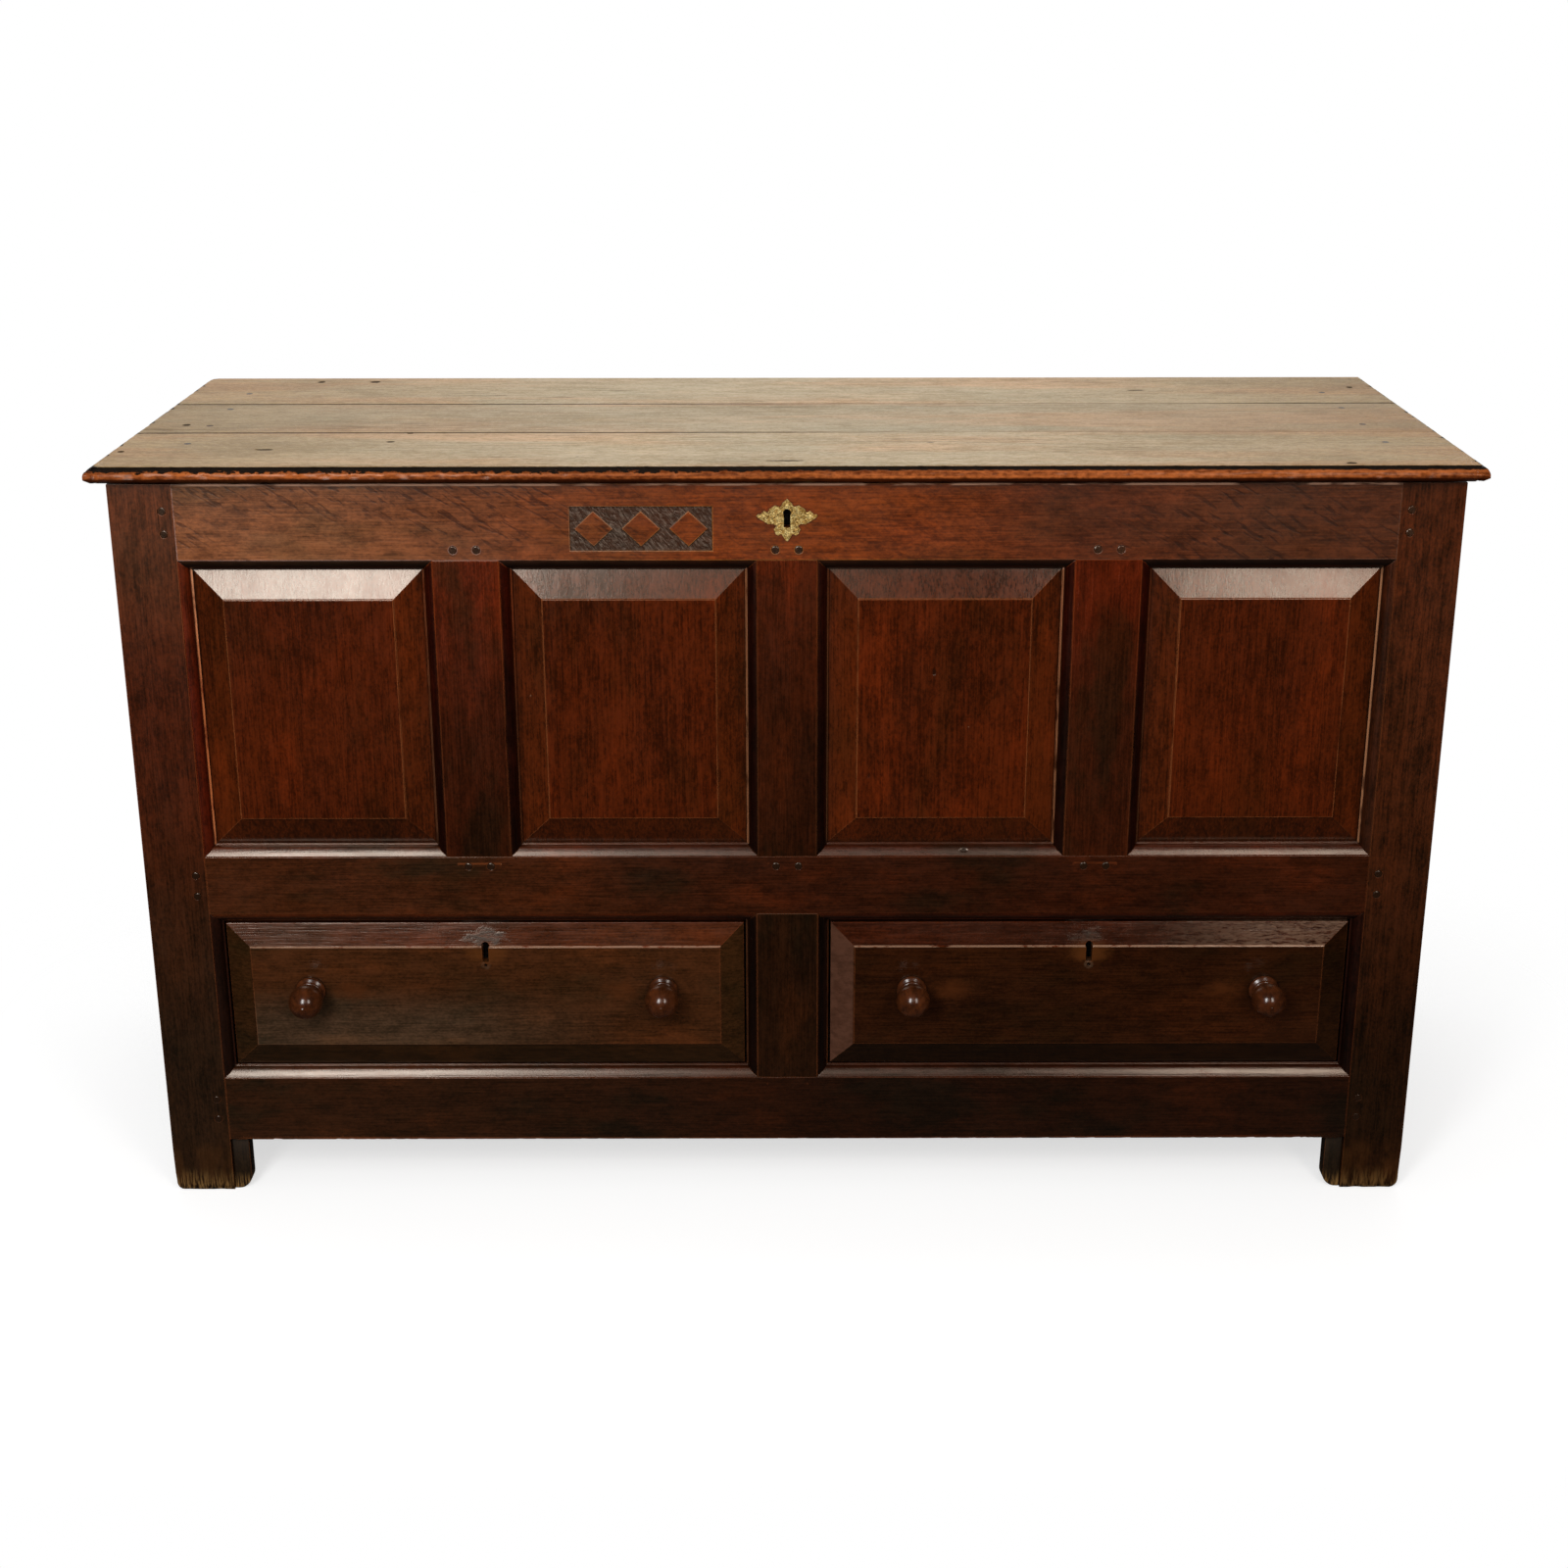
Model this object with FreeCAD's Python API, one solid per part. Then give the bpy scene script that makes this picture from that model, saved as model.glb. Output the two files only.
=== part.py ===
"""Joined oak mule chest: a panelled chest with a hinged lid over two drawers.

Units are millimetres. X runs along the front, the front faces -Y and Z is up.
The origin is on the floor, under the middle of the whole chest's box.
"""
import FreeCAD, Part
import math
import os

V = FreeCAD.Vector

# --- carcass -------------------------------------------------------------
carcass_width = 1500.0
carcass_depth = 560.0
foot_height = 70.0
bottom_rail_height = 83.0
drawer_opening_height = 214.0
middle_rail_height = 72.0
panel_opening_height = 354.0
top_rail_height = 87.0

# --- frame members -------------------------------------------------------
stile_width = 71.0
stile_depth = 48.0
frame_thickness = 28.0
centre_muntin_width = 68.0
outer_muntin_width = 74.5
outer_muntin_offset = 358.75
drawer_divider_width = 72.0
side_muntin_width = 74.0
back_muntin_width = 80.0
tenon_setback = 12.0
tenon_thickness = 9.0
tenon_shoulder = 12.0
tenon_spacing = 5.0
muntin_tenon_length = 32.0
side_tenon_length = 30.0

# --- run mouldings on the frame edges ------------------------------------
moulding_width = 13.0
moulding_depth = 12.0
moulding_quirk = 1.5
moulding_fillet = 2.0

# --- fielded panels ------------------------------------------------------
groove_setback = 15.0
groove_depth = 10.0
panel_edge_thickness = 6.0
panel_shrinkage_gap = 1.0
panel_bevel_width = 33.0
panel_field_setback = 4.0
panel_field_step = 2.0
back_panel_bevel_width = 40.0
back_panel_thickness = 10.0

# --- sunk carved tablet on the front top rail ------------------------------
tablet_width = 158.0
tablet_height = 50.0
tablet_centre_x = -162.0
tablet_centre_above_rail = 36.0
tablet_depth = 2.5
lozenge_count = 3
lozenge_margin = 5.0

# --- pegs ----------------------------------------------------------------
peg_diameter = 9.0
peg_proud = 0.8
peg_from_shoulder = 12.0
peg_spread = 26.0
stile_peg_length = 34.0
muntin_peg_end_gap = 0.5

# --- well floor ----------------------------------------------------------
floor_thickness = 14.0
floor_groove_depth = 6.0
floor_board_count = 6

# --- drawer supports and foot blocks ---------------------------------------
runner_height = 25.0
outer_runner_width = 39.0
centre_runner_width = 150.0
guide_height = 30.0
guide_gap = 0.5
foot_block_width = 21.0
foot_block_depth = 45.0
foot_block_overlap = 65.0

# --- drawers -------------------------------------------------------------
drawer_gap = 2.5
drawer_edge_setback = 11.0
drawer_field_setback = 2.0
drawer_field_step = 1.5
drawer_bevel_width = 28.0
drawer_front_thickness = 28.0
drawer_running_gap = 0.3
drawer_side_thickness = 12.0
drawer_side_drop = 1.5
drawer_back_clearance = 27.0
drawer_back_housing = 4.0
drawer_bottom_thickness = 8.0
drawer_bottom_groove = 5.0
drawer_bottom_lift = 9.0
dovetail_count = 3
dovetail_lap = 14.0
dovetail_root = 24.0
dovetail_flare = 4.0

# --- turned knobs ----------------------------------------------------------
knob_spacing = 419.0
knob_above_sill = 102.0
knob_ball_radius = 20.0
knob_ball_distance = 33.0
knob_flange_radius = 18.0
knob_flange_thickness = 5.0
knob_cove_radius = 13.0
knob_bead_radius = 15.0
knob_bead_thickness = 4.5
knob_neck_radius = 11.0
knob_spindle_radius = 6.0

# --- lid -----------------------------------------------------------------
lid_thickness = 22.0
lid_end_overhang = 19.0
lid_front_overhang = 20.0
lid_moulding_width = 9.0
lid_quirk = 2.0
lid_nose_height = 3.0
lid_ovolo_height = 8.5
lid_undercut = 6.0
lid_front_board_width = 200.0
lid_middle_board_width = 187.0
batten_width = 60.0
batten_thickness = 20.0
batten_end_gap = 62.0
batten_side_gap = 6.0
batten_nail_count = 4

# --- strap hinges ----------------------------------------------------------
hinge_offset_x = 480.0
hinge_axis_behind = 6.5
hinge_knuckle_radius = 6.0
hinge_pin_radius = 3.0
hinge_running_clearance = 0.05
hinge_knuckle_length = 24.0
hinge_leaf_width = 52.0
hinge_leaf_height = 72.0
hinge_iron_thickness = 3.0
hinge_side_clearance = 0.3
hinge_pin_head_radius = 4.5
hinge_pin_head_length = 2.0
strap_length = 240.0
strap_half_width = 17.0
strap_neck_half_width = 8.0
strap_end_radius = 14.0

# --- nails -----------------------------------------------------------------
nail_radius = 1.6
nail_head_radius = 4.0
nail_head_thickness = 1.2
strap_nail_length = 15.0
leaf_nail_length = 18.0
batten_nail_length = 34.0

# --- keyholes and escutcheon -------------------------------------------------
keyhole_radius = 4.5
keyhole_slot_width = 7.2
chest_keyhole_below_top = 33.0
chest_keyhole_drop = 16.5
drawer_keyhole_below_top = 27.0
drawer_keyhole_drop = 20.0
escutcheon_thickness = 1.5
escutcheon_half_width = 34.0
escutcheon_pin_radius = 1.8
escutcheon_pin_length = 12.0

# --- locks -------------------------------------------------------------------
lock_wall = 1.5
lock_depth = 15.0
chest_lock_width = 100.0
chest_lock_height = 56.0
drawer_lock_width = 56.0
drawer_lock_height = 58.0
bolt_thickness = 5.0
bolt_clearance = 0.2
chest_bolt_height = 8.0
chest_bolt_length = 38.0
chest_bolt_below_top = 18.0
chest_bolt_travel = 12.0
drawer_bolt_width = 12.0
drawer_bolt_length = 22.0
drawer_bolt_travel = 9.0
bolt_guide_length = 20.0
hasp_plate_width = 50.0
hasp_plate_thickness = 2.0
hasp_lug_thickness = 3.0
hasp_lug_width = 10.0
hasp_lug_length = 26.0
hasp_hole_clearance = 0.6
hasp_slot_clearance = 1.5

# --- heights and planes worked out from the sizes above ------------------------
sill_z = foot_height + bottom_rail_height
drawer_head_z = sill_z + drawer_opening_height
panel_base_z = drawer_head_z + middle_rail_height
panel_head_z = panel_base_z + panel_opening_height
carcass_height = panel_head_z + top_rail_height
half_width = carcass_width / 2
half_front = half_width - stile_width
half_side = carcass_depth / 2 - stile_depth
knob_reach = knob_ball_distance + knob_ball_radius - drawer_field_setback
hinge_reach = hinge_axis_behind + hinge_knuckle_radius
front_y = -(carcass_depth + hinge_reach - knob_reach) / 2
back_y = front_y + carcass_depth
middle_y = (front_y + back_y) / 2
rail_tenon_length = stile_width - tenon_setback - tenon_thickness - tenon_spacing
runner_z = sill_z + moulding_width
drawer_clear_z = drawer_head_z - moulding_width
drawer_x0 = drawer_divider_width / 2 + moulding_width + drawer_gap
drawer_x1 = half_front - moulding_width - drawer_gap
drawer_centre_x = (drawer_x0 + drawer_x1) / 2
drawer_z0 = runner_z + drawer_gap
drawer_z1 = drawer_clear_z - drawer_gap
drawer_inner_y = front_y + drawer_field_setback + drawer_front_thickness
drawer_end_y = back_y - frame_thickness - drawer_back_clearance
lid_z1 = carcass_height + lid_thickness
lid_half = half_width + lid_end_overhang
lid_front_y = front_y - lid_front_overhang
lid_seam_1 = lid_front_y + lid_front_board_width
lid_seam_2 = lid_seam_1 + lid_middle_board_width
hinge_y = back_y + hinge_axis_behind
floor_z = panel_base_z - floor_thickness


# --- solid-making in plain words -----------------------------------------------
def block(x0, x1, y0, y1, z0, z1):
    """A box between two corners."""
    return Part.makeBox(x1 - x0, y1 - y0, z1 - z0, V(x0, y0, z0))


def rod(radius, length, start, direction):
    """A round rod from start along direction."""
    return Part.makeCylinder(radius, length, start, direction)


def prism(points, extrusion):
    """A prism on a closed polygon of points."""
    wire = Part.makePolygon(points + points[:1])
    return Part.Face(wire).extrude(extrusion)


def join(shapes):
    """One clean solid from touching shapes."""
    whole = shapes[0].fuse(shapes[1:]) if len(shapes) > 1 else shapes[0]
    return whole.removeSplitter()


def cut(shape, tools):
    """The shape less every tool that can reach it."""
    for tool in tools:
        if shape.BoundBox.intersect(tool.BoundBox):
            shape = shape.cut(tool)
    return shape


def mirror_x(shape):
    """The same shape on the other side of the chest's middle."""
    return shape.mirror(V(0, 0, 0), V(1, 0, 0))


def nail(point, direction, length):
    """A wrought nail: its head's top lies at point and its shank runs along direction."""
    head = rod(nail_head_radius, nail_head_thickness, point, direction)
    shank = rod(nail_radius, length, point, direction)
    return head.fuse(shank).removeSplitter()


# --- the four joined faces -----------------------------------------------------
# Each face is drawn flat: u across, depth in from its outer side, z up.
faces = {
    "front": {
        "angle": 0,
        "offset": V(0, front_y, 0),
        "half": half_front,
        "tenon": rail_tenon_length,
        "upper": [-outer_muntin_offset, 0, outer_muntin_offset],
        "upper_widths": [outer_muntin_width, centre_muntin_width, outer_muntin_width],
        "lower": [0],
        "lower_widths": [drawer_divider_width],
        "moulded": True,
        "open_below": True,
    },
    "left": {
        "angle": -90,
        "offset": V(-half_width, middle_y, 0),
        "half": half_side,
        "tenon": side_tenon_length,
        "upper": [0],
        "upper_widths": [side_muntin_width],
        "lower": [],
        "lower_widths": [],
        "moulded": True,
        "open_below": False,
    },
    "back": {
        "angle": 180,
        "offset": V(0, back_y, 0),
        "half": half_front,
        "tenon": rail_tenon_length,
        "upper": [-half_front / 3, half_front / 3],
        "upper_widths": [back_muntin_width, back_muntin_width],
        "lower": [0],
        "lower_widths": [back_muntin_width],
        "moulded": False,
        "open_below": False,
    },
}
rows = {"upper": (panel_base_z, panel_head_z), "lower": (sill_z, drawer_head_z)}
rail_spans = {
    "top": (panel_head_z, carcass_height),
    "middle": (drawer_head_z, panel_base_z),
    "bottom": (foot_height, sill_z),
}


def place(shape, name):
    """Stand a flat-drawn shape in its face of the chest."""
    face = faces[name]
    turned = shape.copy()
    turned.rotate(V(0, 0, 0), V(0, 0, 1), face["angle"])
    turned.translate(face["offset"])
    return turned


def row_openings(name, row):
    """The openings of one row of a face, as (u0, u1, z0, z1), from low u to high u."""
    face = faces[name]
    edges = [-face["half"]]
    for centre, width in zip(face[row], face[row + "_widths"]):
        edges += [centre - width / 2, centre + width / 2]
    edges.append(face["half"])
    z0, z1 = rows[row]
    return [(edges[i], edges[i + 1], z0, z1) for i in range(0, len(edges), 2)]


def edge_section(moulded, to_point):
    """The face of an edge strip: inset 0 is the opening's line, depth 0 the frame's face."""
    width = moulding_width
    if not moulded:
        corners = [(0, 0), (width, 0), (width, frame_thickness), (0, frame_thickness)]
        return Part.Face(Part.makePolygon([to_point(*c) for c in corners + corners[:1]]))
    round_width = width - moulding_fillet
    round_depth = moulding_depth - moulding_quirk
    start = to_point(0, moulding_quirk)
    middle = to_point(round_width * math.sin(math.radians(45)),
                      moulding_quirk + round_depth * (1 - math.cos(math.radians(45))))
    end = to_point(round_width, moulding_depth)
    corners = [end, to_point(width, moulding_depth), to_point(width, frame_thickness),
               to_point(0, frame_thickness), start]
    edges = [Part.Arc(start, middle, end).toShape()]
    edges += [Part.makeLine(a, b) for a, b in zip(corners, corners[1:])]
    return Part.Face(Part.Wire(edges))


def edge_strip(opening, side, moulded, grooved):
    """One mitred, moulded strip along a side of an opening."""
    u0, u1, z0, z1 = opening
    m = moulding_width
    inner = [(u0 + m, z0 + m), (u1 - m, z0 + m), (u1 - m, z1 - m), (u0 + m, z1 - m)]
    outer = [(u0, z0), (u1, z0), (u1, z1), (u0, z1)]
    if side == "left":
        section = edge_section(moulded, lambda s, d: V(u0 + s, d, z0))
        run, a, b = V(0, 0, z1 - z0), 3, 0
    elif side == "right":
        section = edge_section(moulded, lambda s, d: V(u1 - s, d, z0))
        run, a, b = V(0, 0, z1 - z0), 1, 2
    elif side == "bottom":
        section = edge_section(moulded, lambda s, d: V(u0, d, z0 + s))
        run, a, b = V(u1 - u0, 0, 0), 0, 1
    else:
        section = edge_section(moulded, lambda s, d: V(u0, d, z1 - s))
        run, a, b = V(u1 - u0, 0, 0), 2, 3
    mitres = prism([V(u, 0, z) for u, z in (outer[a], outer[b], inner[b], inner[a])],
                   V(0, frame_thickness, 0))
    strip = section.extrude(run).common(mitres)
    if grooved:
        strip = strip.cut(panel_groove(opening))
    return strip


def panel_groove(opening):
    """The space ploughed round an opening for a panel's edge."""
    u0, u1, z0, z1 = opening
    inset = moulding_width - groove_depth
    return block(u0 + inset, u1 - inset, groove_setback, groove_setback + panel_edge_thickness,
                 z0 + inset, z1 - inset)


def is_grooved(name, row):
    """Every opening holds a panel, apart from the drawer openings."""
    return not (row == "lower" and faces[name]["open_below"])


def strips(name, row, side, picks=None):
    """The edge strips on one side of a row's openings, picked by index."""
    openings = row_openings(name, row)
    chosen = openings if picks is None else [openings[i] for i in picks]
    return [edge_strip(o, side, faces[name]["moulded"], is_grooved(name, row)) for o in chosen]


def tenon_depths():
    """The depths between which every tenon of a frame lies."""
    return tenon_setback, tenon_setback + tenon_thickness


def rail_tenons(name, level):
    """The two tenons of a rail, lying in the stiles."""
    face = faces[name]
    z0, z1 = rail_spans[level]
    d0, d1 = tenon_depths()
    z0, z1 = z0 + tenon_shoulder, z1 - tenon_shoulder
    return [block(-face["half"] - face["tenon"], -face["half"], d0, d1, z0, z1),
            block(face["half"], face["half"] + face["tenon"], d0, d1, z0, z1)]


def muntin_tenons(name, row, index):
    """A muntin's upper and lower tenons, lying in the rails."""
    face = faces[name]
    centre, width = face[row][index], face[row + "_widths"][index]
    z0, z1 = rows[row]
    d0, d1 = tenon_depths()
    u0, u1 = centre - width / 2 + tenon_shoulder, centre + width / 2 - tenon_shoulder
    return [block(u0, u1, d0, d1, z0 - muntin_tenon_length, z0),
            block(u0, u1, d0, d1, z1, z1 + muntin_tenon_length)]


def rail(name, level):
    """A rail with its tenons and moulded edges, mortised for the muntins."""
    face = faces[name]
    z0, z1 = rail_spans[level]
    pieces = [block(-face["half"], face["half"], 0, frame_thickness, z0, z1)]
    mortises = []
    if level in ("top", "middle"):
        pieces += strips(name, "upper", "top" if level == "top" else "bottom")
        for i in range(len(face["upper"])):
            mortises.append(muntin_tenons(name, "upper", i)[1 if level == "top" else 0])
    if level in ("middle", "bottom"):
        pieces += strips(name, "lower", "top" if level == "middle" else "bottom")
        for i in range(len(face["lower"])):
            mortises.append(muntin_tenons(name, "lower", i)[1 if level == "middle" else 0])
    return cut(join(pieces + rail_tenons(name, level)), mortises)


def muntin(name, row, index):
    """An upright between two openings, with its tenons and moulded edges."""
    face = faces[name]
    centre, width = face[row][index], face[row + "_widths"][index]
    z0, z1 = rows[row]
    core = block(centre - width / 2, centre + width / 2, 0, frame_thickness, z0, z1)
    edges = strips(name, row, "right", [index]) + strips(name, row, "left", [index + 1])
    return join([core] + edges + muntin_tenons(name, row, index))


def rectangle(u0, u1, depth, z0, z1):
    """A closed rectangular wire at one depth."""
    return Part.makePolygon([V(u0, depth, z0), V(u1, depth, z0), V(u1, depth, z1),
                             V(u0, depth, z1), V(u0, depth, z0)])


def bevelled_slab(bounds, bevel, base_depth, top_depth):
    """A slab whose four edges slope in from its base to its top."""
    u0, u1, z0, z1 = bounds
    base = rectangle(u0, u1, base_depth, z0, z1)
    top = rectangle(u0 + bevel, u1 - bevel, top_depth, z0 + bevel, z1 - bevel)
    return Part.makeLoft([base, top], True, True)


def raised_field(bounds, bevel, base_depth, step, field_depth):
    """The bevels and the stepped field that stand up from a panel's edge."""
    u0, u1, z0, z1 = bounds
    slope = bevelled_slab(bounds, bevel, base_depth, field_depth + step)
    field = block(u0 + bevel, u1 - bevel, field_depth, field_depth + step, z0 + bevel, z1 - bevel)
    return [slope, field]


def panel(name, opening):
    """A fielded panel with its feather edge in the grooves."""
    u0, u1, z0, z1 = opening
    m = moulding_width
    reach = m - groove_depth + panel_shrinkage_gap
    back = groove_setback + panel_edge_thickness
    edge = block(u0 + reach, u1 - reach, groove_setback, back, z0 + reach, z1 - reach)
    sight = (u0 + m, u1 - m, z0 + m, z1 - m)
    if faces[name]["moulded"]:
        return join([edge] + raised_field(sight, panel_bevel_width, groove_setback,
                                          panel_field_step, panel_field_setback))
    rear = groove_setback + back_panel_thickness
    return join([edge, bevelled_slab(sight, back_panel_bevel_width, back, rear)])


def panels(name, row):
    """Every panel of one row of a face, standing in its place."""
    return [place(panel(name, o), name) for o in row_openings(name, row)]


# --- corner stiles -------------------------------------------------------------
def stile(x_side, y_side):
    """A corner stile, which is also a foot: x_side and y_side are -1 or 1."""
    across = "front" if y_side < 0 else "back"
    x0, x1 = sorted((x_side * half_width, x_side * half_front))
    outer, inner = (front_y, front_y + stile_depth), (back_y - stile_depth, back_y)
    y0, y1 = outer if y_side < 0 else inner
    core = block(x0, x1, y0, y1, 0, carcass_height)
    low_u = x_side < 0 if across == "front" else x_side > 0
    side, pick = ("left", 0) if low_u else ("right", -1)
    flat = strips(across, "upper", side, [pick]) + strips(across, "lower", side, [pick])
    solid = join([core] + [place(s, across) for s in flat])
    side_low = y_side > 0
    side, pick = ("left", 0) if side_low else ("right", -1)
    flat = strips("left", "upper", side, [pick]) + strips("left", "lower", side, [pick])
    edges = [place(s, "left") for s in flat]
    tenons = [place(t, "left") for level in rail_spans for t in rail_tenons("left", level)]
    if x_side > 0:
        edges = [mirror_x(s) for s in edges]
        tenons = [mirror_x(t) for t in tenons]
    tenons += [place(t, across) for level in rail_spans for t in rail_tenons(across, level)]
    return cut(join([solid] + edges), tenons + frame_pegs)


# --- pegs ----------------------------------------------------------------------
def peg_pair(u, z, step, length):
    """Two pegs, each a step away from (u, z), driven in from a frame's face."""
    middle = V(u, -peg_proud, z)
    return [rod(peg_diameter / 2, length, middle + step * s, V(0, 1, 0)) for s in (-1, 1)]


def face_pegs(name):
    """The pegs of a face's rail and upper muntin joints, standing in place."""
    face = faces[name]
    muntin_peg_length = peg_proud + frame_thickness - floor_groove_depth - muntin_peg_end_gap
    upward, across = V(0, 0, peg_spread / 2), V(peg_spread / 2, 0, 0)
    pegs = []
    for z0, z1 in rail_spans.values():
        for side in (-1, 1):
            u = side * (face["half"] + peg_from_shoulder)
            pegs += peg_pair(u, (z0 + z1) / 2, upward, stile_peg_length)
    for centre in face["upper"]:
        for z in (panel_head_z + peg_from_shoulder, panel_base_z - peg_from_shoulder):
            pegs += peg_pair(centre, z, across, muntin_peg_length)
    return [place(p, name) for p in pegs]


side_pegs = face_pegs("left")
frame_pegs = face_pegs("front") + face_pegs("back") + side_pegs + [mirror_x(p) for p in side_pegs]


# --- keyholes, escutcheon and locks ------------------------------------------------
def keyhole(x, z, drop, y0, y1):
    """The space of a keyhole from y0 to y1, its round part centred at z."""
    eye = rod(keyhole_radius, y1 - y0, V(x, y0, z), V(0, 1, 0))
    half = keyhole_slot_width / 2
    slot = block(x - half, x + half, y0, y1, z - drop, z)
    return eye.fuse(slot).removeSplitter()


chest_key_z = carcass_height - chest_keyhole_below_top
drawer_key_z = drawer_z1 - drawer_keyhole_below_top
chest_lock_y = front_y + frame_thickness - lock_depth
drawer_lock_y = drawer_inner_y - lock_depth
bolt_y = (lock_depth - bolt_thickness) / 2


def lock_space(x, width, height, y0, z1):
    """The recess that a lock case fills."""
    return block(x - width / 2, x + width / 2, y0, y0 + lock_depth, z1 - height, z1)


def chest_lock_space():
    """The recess for the chest's lock, behind the top rail."""
    return lock_space(0, chest_lock_width, chest_lock_height, chest_lock_y, carcass_height)


def drawer_lock_space():
    """The recess for the right-hand drawer's lock."""
    return lock_space(drawer_centre_x, drawer_lock_width, drawer_lock_height, drawer_lock_y,
                      drawer_z1)


def lock_case(x, width, height, y0, z1, key_z, drop):
    """A hollow iron lock case with a keyhole in its front plate."""
    w = lock_wall
    shell = lock_space(x, width, height, y0, z1)
    inside = block(x - width / 2 + w, x + width / 2 - w, y0 + w, y0 + lock_depth - w,
                   z1 - height + w, z1 - w)
    return shell.cut(inside).cut(keyhole(x, key_z, drop, y0, y0 + w))


def chest_bolt():
    """The chest lock's bolt, drawn back clear of the hasp."""
    nose = -hasp_lug_thickness / 2 - chest_bolt_travel / 2 + hasp_lug_thickness
    z1 = carcass_height - chest_bolt_below_top
    y0 = chest_lock_y + bolt_y
    bar = block(nose - chest_bolt_length, nose, y0, y0 + bolt_thickness, z1 - chest_bolt_height, z1)
    notch = block(nose - chest_bolt_length / 4 - chest_bolt_height / 2, nose - chest_bolt_length / 4,
                  y0, y0 + bolt_thickness, z1 - chest_bolt_height, z1 - chest_bolt_height * 0.65)
    return bar.cut(notch)


def chest_lock_case():
    """The chest lock: its case, the bolt's guide and the hasp's slot."""
    case = lock_case(0, chest_lock_width, chest_lock_height, chest_lock_y, carcass_height,
                     chest_key_z, chest_keyhole_drop)
    box = chest_bolt().BoundBox
    c = bolt_clearance
    x1 = box.XMax - hasp_lug_thickness
    inside = (chest_lock_y + lock_wall, chest_lock_y + lock_depth - lock_wall)
    guide = block(x1 - bolt_guide_length, x1, inside[0], inside[1],
                  box.ZMin - lock_wall * 2, box.ZMax + lock_wall * 2)
    way = block(x1 - bolt_guide_length, x1, box.YMin - c, box.YMax + c, box.ZMin - c, box.ZMax + c)
    half = hasp_lug_thickness / 2 + hasp_slot_clearance
    slot = block(-half, half, inside[0], inside[1], carcass_height - lock_wall, carcass_height)
    return join([case, guide.cut(way)]).cut(slot)


def drawer_bolt():
    """The right-hand drawer's lock bolt, drawn down below the drawer's top edge."""
    y0 = drawer_lock_y + bolt_y
    z1 = drawer_z1 - lock_wall / 2
    half = drawer_bolt_width / 2
    return block(drawer_centre_x - half, drawer_centre_x + half, y0, y0 + bolt_thickness,
                 z1 - drawer_bolt_length, z1)


def drawer_lock_case():
    """The right-hand drawer's lock: its case, with a way out for the bolt."""
    case = lock_case(drawer_centre_x, drawer_lock_width, drawer_lock_height, drawer_lock_y,
                     drawer_z1, drawer_key_z, drawer_keyhole_drop)
    box = drawer_bolt().BoundBox
    c = bolt_clearance
    y0, y1 = drawer_lock_y + lock_wall, drawer_lock_y + lock_depth - lock_wall
    guides = []
    for side in (-1, 1):
        near = drawer_centre_x + side * (drawer_bolt_width / 2 + c)
        far = near + side * lock_wall * 2
        x0, x1 = sorted((near, far))
        guides.append(block(x0, x1, y0, y1, drawer_z1 - lock_wall - bolt_guide_length,
                            drawer_z1 - lock_wall))
    slot = block(box.XMin - c, box.XMax + c, box.YMin - c, box.YMax + c,
                 drawer_z1 - lock_wall, drawer_z1)
    return join([case] + guides).cut(slot)


def escutcheon():
    """The brass keyhole plate: a lobed outline, alike on both sides."""
    k = escutcheon_half_width / 34.0
    y = front_y
    half_outline = [(0, 15.6), (4.6, 11.2), (7.4, 6.6), (13.2, 8.3), (19.6, 4.2), (21.4, 0.2),
                    (25.6, 2.0), (29.6, -1.8), (32.4, -1.6), (34.0, -3.4), (32.2, -5.4),
                    (28.6, -7.6), (21.0, -12.6), (15.4, -12.4), (11.8, -14.6), (14.6, -18.4),
                    (12.6, -23.8), (9.8, -25.6), (6.2, -23.6), (4.0, -27.4), (0, -32.4)]
    right = [V(u * k, y, chest_key_z + w * k) for u, w in half_outline]
    left = [V(-p.x, p.y, p.z) for p in right[-2:0:-1]]
    plate = prism(right + left, V(0, -escutcheon_thickness, 0))
    eye = keyhole(0, chest_key_z, chest_keyhole_drop, y - escutcheon_thickness, y)
    return cut(plate, [eye] + escutcheon_pins())


def escutcheon_pins():
    """The three round-headed brass pins that hold the plate."""
    k = escutcheon_half_width / 34.0
    pins = []
    for u, w in ((-25.6, -3.4), (25.6, -3.4), (0, 8.8)):
        centre = V(u * k, front_y - escutcheon_thickness, chest_key_z + w * k)
        head = Part.makeSphere(escutcheon_pin_radius, centre)
        head = head.common(block(-half_width, half_width, front_y - stile_depth,
                                 front_y - escutcheon_thickness, 0, lid_z1))
        shank = rod(escutcheon_pin_radius / 2, escutcheon_pin_length, centre, V(0, 1, 0))
        pins.append(head.fuse(shank).removeSplitter())
    return pins


# --- rails with their own cuts --------------------------------------------------
def tablet():
    """The sunk tablet's space, round its row of raised lozenges and upright fillets."""
    x0, x1 = tablet_centre_x - tablet_width / 2, tablet_centre_x + tablet_width / 2
    z = panel_head_z + tablet_centre_above_rail
    z0, z1 = z - tablet_height / 2, z + tablet_height / 2
    space = block(x0, x1, front_y, front_y + tablet_depth, z0, z1)
    pitch = tablet_width / lozenge_count
    half_u, half_z = pitch / 2 - lozenge_margin, tablet_height / 2 - lozenge_margin
    for i in range(lozenge_count):
        u = x0 + pitch * (i + 0.5)
        base = [V(u - half_u, front_y, z), V(u, front_y, z - half_z),
                V(u + half_u, front_y, z), V(u, front_y, z + half_z)]
        space = space.cut(prism(base, V(0, tablet_depth, 0)))
    return space


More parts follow.
